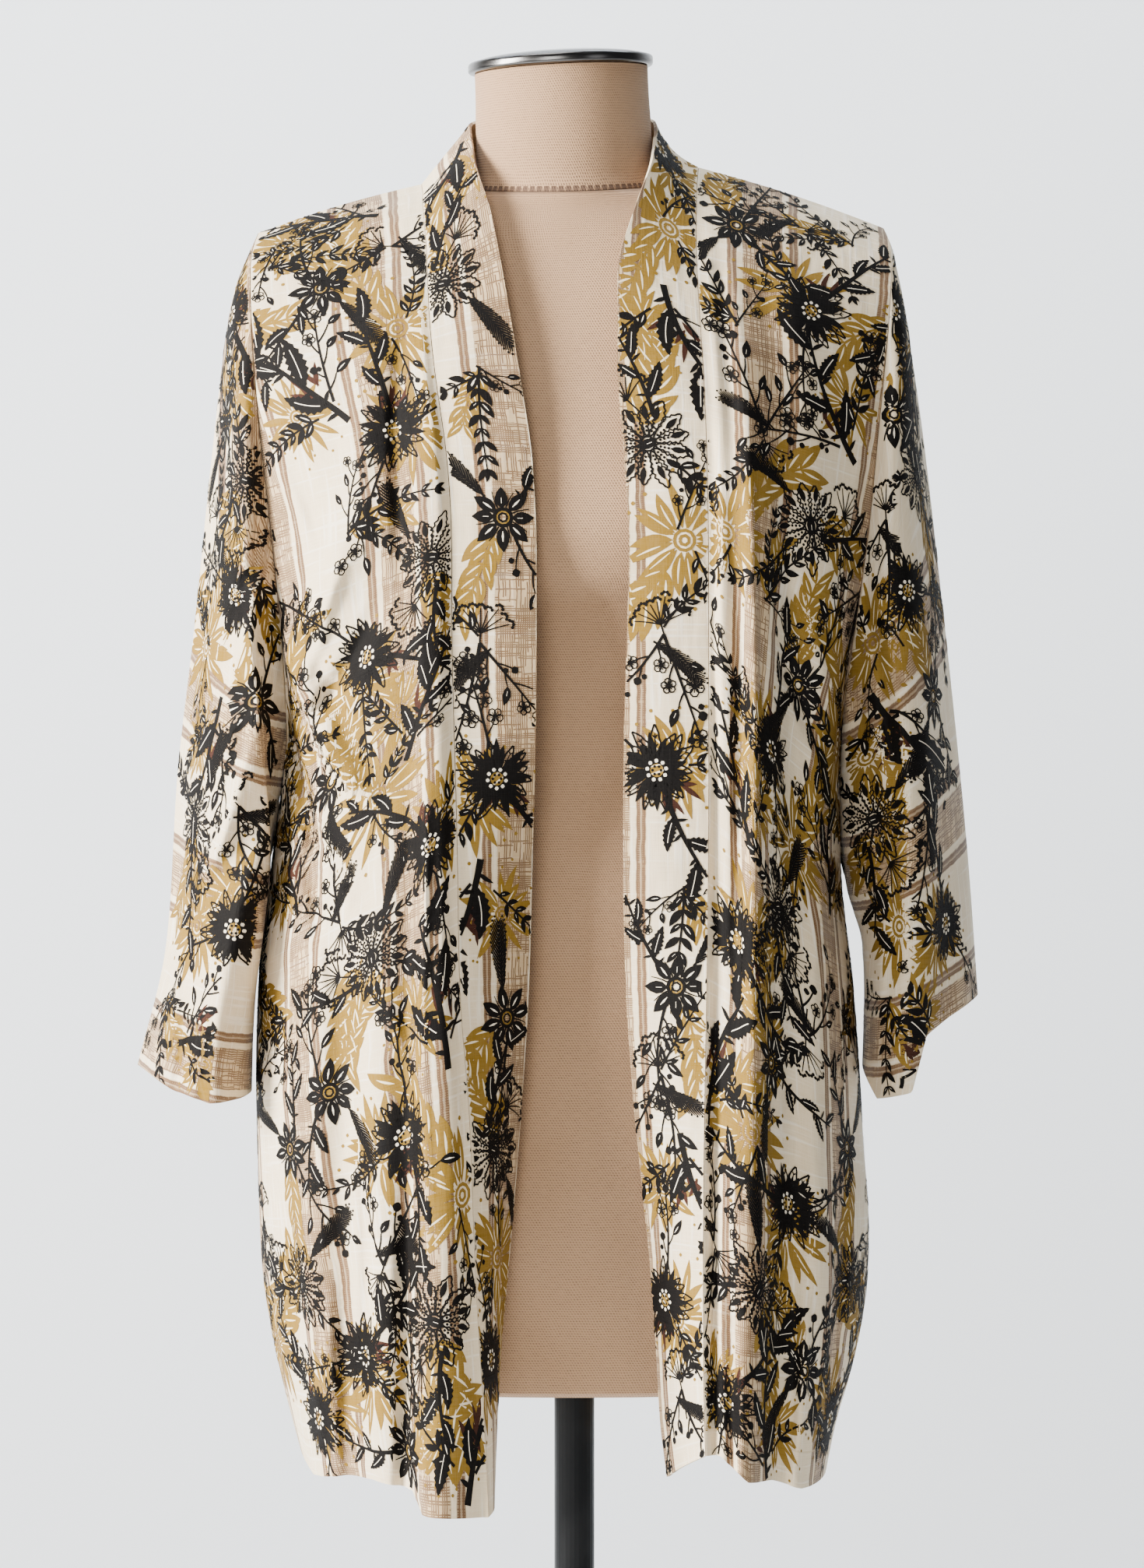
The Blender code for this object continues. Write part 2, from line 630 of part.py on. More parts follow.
def ring_mesh(rings):
    """Closed body from stacked rings of points."""
    sides = len(rings[0])
    points = np.concatenate(rings)
    faces = []
    for i in range(len(rings) - 1):
        for j in range(sides):
            k = (j + 1) % sides
            faces.append((i * sides + j, i * sides + k, (i + 1) * sides + k, (i + 1) * sides + j))
    faces.append(tuple(range(sides))[::-1])
    faces.append(tuple(range((len(rings) - 1) * sides, len(rings) * sides)))
    return points, faces


def torso_ring(row):
    z, half, front, back, power = row
    angle = np.linspace(0, 2 * math.pi, FORM_SIDES, endpoint=False)
    across = np.sign(np.cos(angle)) * np.abs(np.cos(angle)) ** (2 / power)
    deep = np.sign(np.sin(angle)) * np.abs(np.sin(angle)) ** (2 / power)
    centre = NECK_CENTRE_X * smooth((z - 1050) / 200)
    x = centre + half * across
    y = np.where(deep < 0, -deep * front, deep * back)
    tilt = SHOULDER_TILT * smooth((z - 1100) / 130)
    slope = NECK_SEAM_SLOPE * smooth((z - 1240) / 28)
    return np.stack([x, y, z + tilt * (x - centre) + slope * y], axis=-1)


def torso_rings():
    table = np.asarray(TORSO, float)
    heights = []
    for low, high in zip(table[:-1, 0], table[1:, 0]):
        pieces = max(1, round((high - low) / 45))
        heights.extend(low + (high - low) * np.arange(pieces) / pieces)
    heights.append(table[-1, 0])
    values = curve(np.array(heights), table)
    return [torso_ring((z, *row)) for z, row in zip(heights, values)]


def oval_ring(z, radius_x, radius_y, centre, slope_y=0.0, slope_x=0.0):
    angle = np.linspace(0, 2 * math.pi, FORM_SIDES, endpoint=False)
    x = radius_x * np.cos(angle)
    y = radius_y * np.sin(angle)
    return np.stack([centre + x, y, z + slope_y * y + slope_x * x], axis=-1)


def make_form():
    cover = (0.52, 0.37, 0.29)
    paint = (0.015, 0.015, 0.017)
    points, faces = ring_mesh(torso_rings())
    torso = make_object("form_torso", points, faces, make_material("form_torso_cover", cover, 0.9))
    lean = NECK_LEAN
    tilt = math.tan(CAP_TILT)
    rows = ((1268.4, 57, 50, NECK_SEAM_SLOPE, SHOULDER_TILT), (1276, 53.5, 48.5, 0.07, 0.02),
            (1288, 52.2, 48.5, 0.03, 0.02), (1305, 52, 48.5, 0.0, 0.03), (1322, 51.4, 48.5, 0.0, 0.04),
            (1336.4, 51.3, 48.5, 0.0, tilt))
    rings = [oval_ring(z, a, b, NECK_CENTRE_X - lean * (z - 1290), s, k) for z, a, b, s, k in rows]
    points, faces = ring_mesh(rings)
    neck = make_object("form_neck", points, faces, make_material("form_neck_cover", cover, 0.9))
    top = NECK_CENTRE_X - lean * 55
    rows = ((1336.8, 50.5, 47.5), (1336.8, 53.6, 51.0), (1338.0, 54.8, 52.2), (1342.4, 54.8, 52.2),
            (1344.0, 53.8, 51.2), (1346.0, 44, 42), (1347.4, 24, 23))
    points, faces = ring_mesh([oval_ring(z, a, b, top, 0.0, tilt) for z, a, b in rows])
    make_object("neck_cap", points, faces, make_material("cap_metal", (0.30, 0.29, 0.28), 0.25, 1.0))
    rings = [np.stack([POLE_RADIUS * np.cos(a), POLE_RADIUS * np.sin(a), np.full(28, z)], axis=-1)
             for a in [np.linspace(0, 2 * math.pi, 28, endpoint=False)] for z in (26.3, TORSO_BOTTOM - 0.3)]
    points, faces = ring_mesh(rings)
    make_object("pole", points, faces, make_material("pole_paint", paint, 0.35, 0.6))
    profile = ((0.0, BASE_RADIUS - 3), (1.0, BASE_RADIUS - 1), (3.0, BASE_RADIUS), (5.5, BASE_RADIUS - 1.2),
               (7.0, BASE_RADIUS - 5), (9.0, 120), (10.5, 40), (12.0, 25), (25.0, 22), (26.0, 21))
    angle = np.linspace(0, 2 * math.pi, 56, endpoint=False)
    rings = [np.stack([r * np.cos(angle), r * np.sin(angle), np.full(56, z)], axis=-1) for z, r in profile]
    points, faces = ring_mesh(rings)
    make_object("base", points, faces, make_material("base_paint", paint, 0.35, 0.6))
    return torso, neck


def form_tree(objects):
    points = []
    faces = []
    for obj in objects:
        start = len(points)
        points.extend(v.co / MM for v in obj.data.vertices)
        faces.extend([start + i for i in p.vertices] for p in obj.data.polygons)
    return BVHTree.FromPolygons(points, faces)


def clear_of_form(grid, tree, wall):
    """Points of a grid moved out of the form's way, with the middle of each cell tried as well."""
    least = wall + FORM_CLEARANCE
    rows, columns = grid.shape[:2]
    for _ in range(4):
        push = np.zeros_like(grid)
        for i in range(rows):
            for j in range(columns):
                push[i, j] = needed_push(grid[i, j], tree, least)
        grid += push
        extra = np.zeros_like(grid)
        for i in range(rows - 1):
            for j in range(columns - 1):
                cell = grid[i:i + 2, j:j + 2]
                move = needed_push(cell.mean(axis=(0, 1)), tree, least - 0.3)
                for corner in ((i, j), (i, j + 1), (i + 1, j), (i + 1, j + 1)):
                    if np.dot(move, move) > np.dot(extra[corner], extra[corner]):
                        extra[corner] = move
        grid += extra
    return grid


def needed_push(point, tree, least):
    near, normal, _, _ = tree.find_nearest(Vector(point), 60)
    if near is None:
        return np.zeros(3)
    height = (Vector(point) - near).dot(normal)
    return np.array(normal) * max(0.0, least - height)


def draw_in(grid, take, closed=False):
    """A little taken off each edge, so that pieces keep a gap at their seams."""
    moved = grid.copy()
    edges = [(0, 1, 0), (-1, -2, 0)]
    if not closed:
        edges += [(0, 1, 1), (-1, -2, 1)]
    for edge, near, axis in edges:
        outer = np.take(grid, edge, axis=axis)
        step = np.take(grid, near, axis=axis) - outer
        step *= take / np.maximum(np.linalg.norm(step, axis=-1, keepdims=True), 1e-9)
        if axis == 0:
            moved[edge] += step
        else:
            moved[:, edge] += step
    return moved


def share_normals(first, second):
    """Both sides of a seam get the mean of their normals."""
    mean = first + second
    mean /= np.maximum(np.linalg.norm(mean, axis=-1, keepdims=True), 1e-9)
    first[...] = mean
    second[...] = mean


def body_places():
    below = 0.5 * (np.arange(ROWS_SIDE) / ROWS_SIDE)
    above = 0.5 + 0.5 * np.arange(ROWS_ARMHOLE + 1) / ROWS_ARMHOLE
    return np.concatenate([below, above])


def main():
    for obj in list(bpy.data.objects):
        bpy.data.objects.remove(obj, do_unlink=True)
    torso, neck = make_form()
    tree = form_tree([torso, neck])
    v = body_places()
    split = NECK_COLUMNS / (NECK_COLUMNS + SHOULDER_COLUMNS)
    half = np.concatenate([
        split * np.arange(NECK_COLUMNS) / NECK_COLUMNS,
        split + (1 - split) * np.arange(SHOULDER_COLUMNS + 1) / SHOULDER_COLUMNS,
    ])
    u_back = np.concatenate([-half[:0:-1], half])
    u_front = np.asarray(FRONT_COLUMNS, float)
    turns = np.arange(2 * ROWS_ARMHOLE) / ROWS_ARMHOLE
    s = np.linspace(0, 1, SLEEVE_ROWS + 1)
    t_band = np.concatenate([np.arange(NECK_COLUMNS) / NECK_COLUMNS, 2 - v[::-1]])
    across = np.linspace(0, 1, BAND_COLUMNS + 1)
    grids = {"back": clear_of_form(back_grid(u_back, v), tree, WALL)}
    back = grids["back"]
    middle = NECK_COLUMNS + SHOULDER_COLUMNS
    shoulder = np.arange(SHOULDER_COLUMNS + 1) / SHOULDER_COLUMNS
    for side in ("right", "left"):
        front = clear_of_form(front_grid(side, u_front, v), tree, WALL)
        step = 1 if side == "left" else -1
        edge = middle + step * middle
        for axis in range(3):
            columns = middle + step * np.arange(NECK_COLUMNS, middle + 1)
            back[-1, columns, axis] = np.interp(shoulder, u_front, front[-1, :, axis])
        back[:ROWS_SIDE + 1, edge] = front[:ROWS_SIDE + 1, -1]
        sleeve = sleeve_grid(side, turns, s)
        sleeve[0, :ROWS_ARMHOLE + 1] = front[ROWS_SIDE:, -1]
        sleeve[0, ROWS_ARMHOLE + 1:] = back[ROWS_SIDE + 1:-1, edge][::-1]
        neckline = back[-1, middle:middle + step * NECK_COLUMNS:step]
        seam = np.concatenate([neckline, front[::-1, 0]])
        band = band_grid(side, across, t_band, seam)
        band[:, 1:] = clear_of_form(band.copy(), tree, BAND_WALL)[:, 1:]
        band[0, :, 0] = NECK_CENTRE_X
        grids["front_" + side] = front
        grids["sleeve_" + side] = sleeve
        grids["band_" + side] = band
    normals = {}
    for name, grid in grids.items():
        if "sleeve" in name:
            normals[name] = normals_of(grid, grid.mean(axis=1, keepdims=True), True)
        else:
            normals[name] = normals_of(grid, np.array([NECK_CENTRE_X, 0, 1]) * (1, 1, 0) + grid * (0, 0, 1))
    for side in ("right", "left"):
        front = normals["front_" + side]
        back = normals["back"]
        sleeve = normals["sleeve_" + side]
        band = normals["band_" + side]
        step = 1 if side == "left" else -1
        edge = middle + step * middle
        columns = middle + step * np.arange(NECK_COLUMNS, middle + 1)
        front_top = front[-1].copy()
        for axis in range(3):
            front[-1, :, axis] += np.interp(u_front, shoulder, back[-1, columns, axis])
            back[-1, columns, axis] += np.interp(shoulder, u_front, front_top[:, axis])
        front[-1] /= np.linalg.norm(front[-1], axis=-1, keepdims=True)
        back[-1, columns] /= np.linalg.norm(back[-1, columns], axis=-1, keepdims=True)
        share_normals(front[:ROWS_SIDE + 1, -1], back[:ROWS_SIDE + 1, edge])
        share_normals(front[ROWS_SIDE:, -1], sleeve[0, :ROWS_ARMHOLE + 1])
        rear = sleeve[0, ROWS_ARMHOLE + 1:]
        share_normals(back[ROWS_SIDE + 1:-1, edge], rear[::-1])
        back[-1, edge] = front[-1, -1]
        back[ROWS_SIDE, edge] = front[ROWS_SIDE, -1]
        share_normals(front[:, 0], band[NECK_COLUMNS:, 0][::-1])
        back[-1, middle + step * NECK_COLUMNS] = front[-1, 0]
        neckline = back[-1, middle:middle + step * NECK_COLUMNS:step]
        share_normals(neckline, band[:NECK_COLUMNS, 0])
        band[0, :, 0] = 0
        band[0] /= np.linalg.norm(band[0], axis=-1, keepdims=True)
    for name, grid in grids.items():
        closed = "sleeve" in name
        wall = BAND_WALL if "band" in name else WALL
        outer = draw_in(grid, BAND_TAKE if "band" in name else SEAM_TAKE, closed)
        if closed:
            outer[..., 0] += SLEEVE_SHIFT * (1 if "left" in name else -1)
        points, faces = wall_mesh(outer, normals[name], wall, closed)
        make_object(name, points, faces, make_material(name + "_cloth", CLOTH_COLOUR, 0.85))


main()
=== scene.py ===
# %% [markdown]
# # A printed kimono jacket on a dress form
# The jacket hangs open on a limbless form with a metal neck cap. Its cloth is thin, so each piece
# is a sheet that follows the form and then falls in long soft folds. The cells below set out the
# cut, make the form, sew the sheets over it, and then add the finishes, the print and the studio.

import math

import bpy
import numpy as np
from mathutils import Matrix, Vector
from mathutils.bvhtree import BVHTree


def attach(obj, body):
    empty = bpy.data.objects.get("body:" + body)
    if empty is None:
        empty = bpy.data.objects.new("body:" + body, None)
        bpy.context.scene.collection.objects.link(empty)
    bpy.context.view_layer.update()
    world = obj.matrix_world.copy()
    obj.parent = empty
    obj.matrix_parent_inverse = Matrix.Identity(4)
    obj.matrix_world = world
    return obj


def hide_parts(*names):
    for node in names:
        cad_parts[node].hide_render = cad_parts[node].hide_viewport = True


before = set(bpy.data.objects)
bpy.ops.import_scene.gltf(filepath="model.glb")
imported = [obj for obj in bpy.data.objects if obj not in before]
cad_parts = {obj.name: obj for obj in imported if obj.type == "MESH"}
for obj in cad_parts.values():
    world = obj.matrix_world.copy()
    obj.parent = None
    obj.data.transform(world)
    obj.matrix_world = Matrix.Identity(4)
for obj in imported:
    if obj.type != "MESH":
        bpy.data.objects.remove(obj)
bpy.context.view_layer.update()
print("nodes:", sorted(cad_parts))

# %% [markdown]
# ## Camera
# The photograph was taken with a long lens, a little above the waist and almost level. A long lens
# keeps the two sleeves the same size. The camera comes first, so that every later choice can be
# judged in its view.

# %% Camera
CAMERA_PLACE = Vector((0.0, -3.4, 1.03))
CAMERA_AIM = Vector((-0.0014, 0.0, 0.913))
LENS_MM = 131.06
SENSOR_HEIGHT_MM = 36.0

camera_data = bpy.data.cameras.new("camera")
camera_data.sensor_fit = "VERTICAL"
camera_data.sensor_height = SENSOR_HEIGHT_MM
camera_data.lens = LENS_MM
camera = bpy.data.objects.new("camera", camera_data)
camera.location = CAMERA_PLACE
camera.rotation_euler = (CAMERA_AIM - CAMERA_PLACE).to_track_quat("-Z", "Y").to_euler()
bpy.context.collection.objects.link(camera)
bpy.context.scene.camera = camera
print("camera at", tuple(camera.location))

# %% [markdown]
# ## The cut of the jacket
# A pattern cutter would write down where each seam and edge runs. The tables here do the same on
# the hanging jacket: a row for each height, in millimetres. A smooth curve through a table gives a
# seam, and the cloth between two seams is spanned in rows, which keeps the pieces' edges equal
# wherever they are sewn together. Modelling each panel by hand from a plane would be freer, but its
# seams would not meet.

# %% Seams and edges
MM = 0.001
WALL = 1.0
BAND_WALL = 1.8
FORM_CLEARANCE = 1.5
HEM_BLEND = 0.09
NECK_SHARE = 6 / 14
SEAM_TAKE = 0.15
BAND_TAKE = 0.30
SLEEVE_SHIFT = 0.25
NECK_CENTRE_X = -6.0
NECK_LEAN = 0.04
CAP_TILT = math.radians(2.9)
SHOULDER_TILT = 0.022
NECK_SEAM_SLOPE = 0.13
CLOTH_INSET = 0.05
SHOULDER_LIFT = 2.0
SLEEVE_CENTRE_Y = 4.0
FOLD_SPREAD = 1.35
BAND_BULGE = 2.5
SHOULDER_BULGE = {"right": 0.0, "left": -4.0}

# Torso sections: height, half width, front depth, back depth, roundness power
TORSO = (
    (557, 147, -80, 92, 2.3),
    (560, 151, -84, 96, 2.3),
    (600, 158, -88, 104, 2.3),
    (680, 163, -90, 108, 2.3),
    (760, 158, -89, 106, 2.3),
    (840, 143, -88, 94, 2.3),
    (905, 131, -88, 82, 2.3),
    (960, 133, -93, 79, 2.3),
    (1000, 139, -97, 80, 2.3),
    (1020, 142, -101, 82, 2.3),
    (1037, 145, -112, 84, 2.4),
    (1065, 148, -117, 87, 2.4),
    (1100, 153, -111, 91, 2.3),
    (1150, 161, -95, 95, 2.2),
    (1190, 169, -80, 93, 2.1),
    (1215, 172, -70, 86, 2.0),
    (1235, 166, -61, 77, 1.85),
    (1247, 146, -56, 70, 1.75),
    (1256, 116, -53, 64, 1.75),
    (1264, 84, -51, 57, 1.85),
    (1268, 60, -50, 52, 2.0),
)
# Band seam of each front, from the hem (0) to the shoulder (1): place, x, y, z
SEAM = {
    "right": (
        (0.00, -49.0, -150, 499),
        (0.05, -50.5, -149, 541),
        (0.11, -54.0, -148, 590),
        (0.18, -57.0, -146, 645),
        (0.28, -60.0, -142, 729),
        (0.36, -66.0, -137, 803),
        (0.43, -67.0, -133, 875),
        (0.50, -69.0, -130, 950),
        (0.56, -70.2, -130, 995),
        (0.64, -70.2, -129, 1050),
        (0.72, -72.5, -123, 1100),
        (0.79, -80.0, -108, 1150),
        (0.85, -84.5, -87, 1190),
        (0.90, -86.0, -64, 1222),
        (0.95, -88.0, -34, 1252),
        (1.00, -91.0, 8, 1270),
    ),
    "left": (
        (0.00, 75.0, -148, 533),
        (0.05, 74.4, -147, 556),
        (0.11, 73.9, -146, 592),
        (0.18, 73.8, -144, 645),
        (0.28, 74.6, -140, 729),
        (0.36, 76.0, -136, 802),
        (0.43, 77.0, -133, 872),
        (0.50, 77.2, -130, 950),
        (0.56, 77.1, -130, 997),
        (0.64, 77.0, -128, 1050),
        (0.72, 76.3, -122, 1102),
        (0.79, 74.5, -108, 1155),
        (0.85, 72.0, -87, 1198),
        (0.90, 71.0, -63, 1232),
        (0.95, 72.0, -33, 1263),
        (1.00, 74.0, 8, 1280),
    ),
}

# Side seam, from the hem (0) to the armpit (0.5): place, x, y, z
SIDE = {
    "right": (
        (0.00, -164, 0, 519),
        (0.05, -172, 0, 548),
        (0.11, -180, 0, 583),
        (0.18, -187, 0, 628),
        (0.28, -189, 1, 695),
        (0.36, -190, 2, 752),
        (0.43, -188, 4, 808),
        (0.47, -184, 5, 843),
        (0.50, -180, 4, 872),
    ),
    "left": (
        (0.00, 150.5, 0, 505),
        (0.05, 156.5, 0, 535),
        (0.11, 167.5, 0, 572),
        (0.18, 175.5, 0, 622),
        (0.23, 176.0, 0, 655),
        (0.28, 173.0, 1, 692),
        (0.36, 169.5, 2, 752),
        (0.43, 165.0, 4, 810),
        (0.47, 160.0, 5, 843),
        (0.50, 159.0, 4, 866),
    ),
}

# Armhole seam, from the armpit (0.5) to the shoulder tip (1): place, x, y, z
ARMHOLE = {
    ("right", "front"): (
        (0.50, -180, 4, 872),
        (0.53, -174, -22, 906),
        (0.56, -169, -39, 942),
        (0.64, -172, -56, 1007),
        (0.72, -178, -64, 1070),
        (0.79, -184, -65, 1125),
        (0.85, -188, -58, 1170),
        (0.90, -190, -46, 1203),
        (0.95, -191, -26, 1226),
        (1.00, -188, 6, 1241),
    ),
    ("right", "back"): (
        (0.50, -180, 4, 872),
        (0.53, -176, 26, 906),
        (0.56, -174, 44, 942),
        (0.64, -175, 63, 1007),
        (0.72, -178, 72, 1070),
        (0.79, -183, 73, 1125),
        (0.85, -187, 68, 1170),
        (0.90, -190, 57, 1203),
        (0.95, -191, 36, 1226),
        (1.00, -188, 6, 1241),
    ),
    ("left", "front"): (
        (0.50, 159, 4, 866),
        (0.53, 157, -22, 902),
        (0.56, 157, -37, 940),
        (0.64, 165, -52, 1007),
        (0.72, 173, -60, 1070),
        (0.79, 178, -61, 1127),
        (0.85, 183, -55, 1173),
        (0.90, 186, -44, 1207),
        (0.95, 187, -24, 1231),
        (1.00, 184, 8, 1244),
    ),
    ("left", "back"): (
        (0.50, 159, 4, 866),
        (0.53, 158, 26, 902),
        (0.56, 160, 43, 940),
        (0.64, 166, 62, 1007),
        (0.72, 172, 71, 1070),
        (0.79, 178, 73, 1127),
        (0.85, 182, 68, 1173),
        (0.90, 185, 57, 1207),
        (0.95, 187, 37, 1231),
        (1.00, 184, 8, 1244),
    ),
}

# Centre back, from the hem to the neckline: place, x, y, z
CENTRE_BACK = (
    (0.00, -6, 128, 533),
    (0.05, -6, 127, 558),
    (0.11, -6, 126, 595),
    (0.18, -6, 125, 645),
    (0.28, -6, 122, 730),
    (0.36, -6, 119, 803),
    (0.43, -6, 115, 872),
    (0.50, -6, 112, 948),
    (0.56, -6, 110, 992),
    (0.64, -6, 108, 1045),
    (0.72, -6, 107, 1098),
    (0.79, -6, 104, 1145),
    (0.85, -6, 99, 1183),
    (0.90, -6, 92, 1213),
    (0.95, -6, 83, 1239),
    (1.00, -6, 73, 1261),
)

# How far a row turns towards the side: place, turn
TURN = (
    (0.00, 1.0),
    (0.43, 1.0),
    (0.50, 0.95),
    (0.56, 0.8),
    (0.64, 0.65),
    (0.72, 0.5),
    (0.79, 0.4),
    (0.85, 0.3),
    (0.90, 0.2),
    (0.95, 0.1),
    (1.00, 0.0),
)

# Free edge of the band: place (0 centre back, 1 shoulder, 2 hem), x, y, z
FREE_EDGE = {
    "right": (
        (0.00, -6.0, 61, 1311),
        (0.35, -34.0, 55, 1311),
        (0.70, -56.0, 36, 1310),
        (1.00, -62.5, 8, 1305),
        (1.05, -58.5, -36, 1281),
        (1.10, -49.0, -62, 1251),
        (1.15, -40.0, -86, 1206),
        (1.21, -31.0, -108, 1152),
        (1.28, -23.6, -121, 1100),
        (1.36, -21.4, -127, 1050),
        (1.44, -21.4, -127, 995),
        (1.50, -21.8, -124, 950),
        (1.57, -23.8, -110, 875),
        (1.64, -25.8, -107, 803),
        (1.72, -30.4, -103, 729),
        (1.82, -37.2, -100, 645),
        (1.89, -42.2, -100, 590),
        (1.95, -45.0, -100, 541),
        (2.00, -47.8, -101, 500),
    ),
    "left": (
        (0.00, -6.0, 61, 1311),
        (0.35, 22.0, 55, 1311),
        (0.70, 44.0, 36, 1311),
        (1.00, 49.0, 8, 1305),
        (1.05, 46.0, -36, 1283),
        (1.10, 35.0, -64, 1251),
        (1.15, 25.0, -88, 1213),
        (1.21, 24.5, -108, 1160),
        (1.28, 28.5, -120, 1102),
        (1.36, 31.0, -127, 1050),
        (1.44, 29.6, -128, 997),
        (1.50, 28.2, -127, 950),
        (1.57, 27.7, -127, 872),
        (1.64, 29.2, -119, 802),
        (1.72, 34.2, -111, 729),
        (1.82, 42.8, -105, 645),
        (1.89, 46.8, -104, 592),
        (1.95, 49.4, -104, 548),
        (2.00, 53.5, -104, 514),
    ),
}

# Hem line: x, z
HEM = {
    ("right", "front"): ((-164, 519), (-153, 510), (-135, 514), (-116, 516), (-93, 512), (-87, 500),
                         (-49, 498)),
    ("left", "front"): ((75, 533), (84, 533), (90, 527), (100, 518), (114, 515), (132, 507), (149, 505)),
    ("right", "back"): ((-164, 519), (-140, 514), (-104, 524), (-70, 526), (-36, 534), (-6, 531)),
    ("left", "back"): ((-6, 531), (30, 535), (66, 526), (98, 524), (128, 510), (149, 505)),
}

# Sleeve sections, from the armhole (0) to the cuff (1): place, outer x, z, inner x, z, front y, back y, and
# how far the front of the section leans towards the body
SLEEVE = {
    "right": (
        (0.00, -188, 1241, -180, 872, -65, 73, 0),
        (0.12, -203, 1204, -184, 862, -68, 76, 6),
        (0.30, -215, 1115, -188, 850, -73, 80, 16),
        (0.50, -226, 1010, -191, 835, -78, 84, 25),
        (0.70, -237, 915, -193, 815, -79, 84, 24),
        (0.85, -243, 822, -195, 785, -76, 80, 20),
        (1.00, -261, 746, -194, 733, -71, 74, 14),
    ),
    "left": (
        (0.00, 184, 1244, 159, 866, -61, 73, 0),
        (0.12, 195, 1200, 161, 858, -66, 76, 3),
        (0.30, 207, 1125, 163, 848, -71, 80, 7),
        (0.50, 217, 1040, 167, 836, -75, 83, 9),
        (0.70, 227, 950, 172, 816, -77, 83, 8),
        (0.85, 235, 868, 173, 788, -76, 80, 8),
        (1.00, 241, 787, 172, 748, -73, 77, 8),
    ),
}

# Cuff line away from its plane: share across (-1 inner, 1 outer), drop in front, drop behind
CUFF = {
    "right": ((-1.0, -1, -1), (-0.6, -6, -4), (0.0, -11, -7), (0.6, -8, -8), (1.0, -1, -1)),
    "left": ((-1.0, -2, -2), (-0.68, -24, -9), (-0.05, -31, -13), (0.2, -3, -11), (0.6, -1, -6), (1.0, 0, 0)),
}

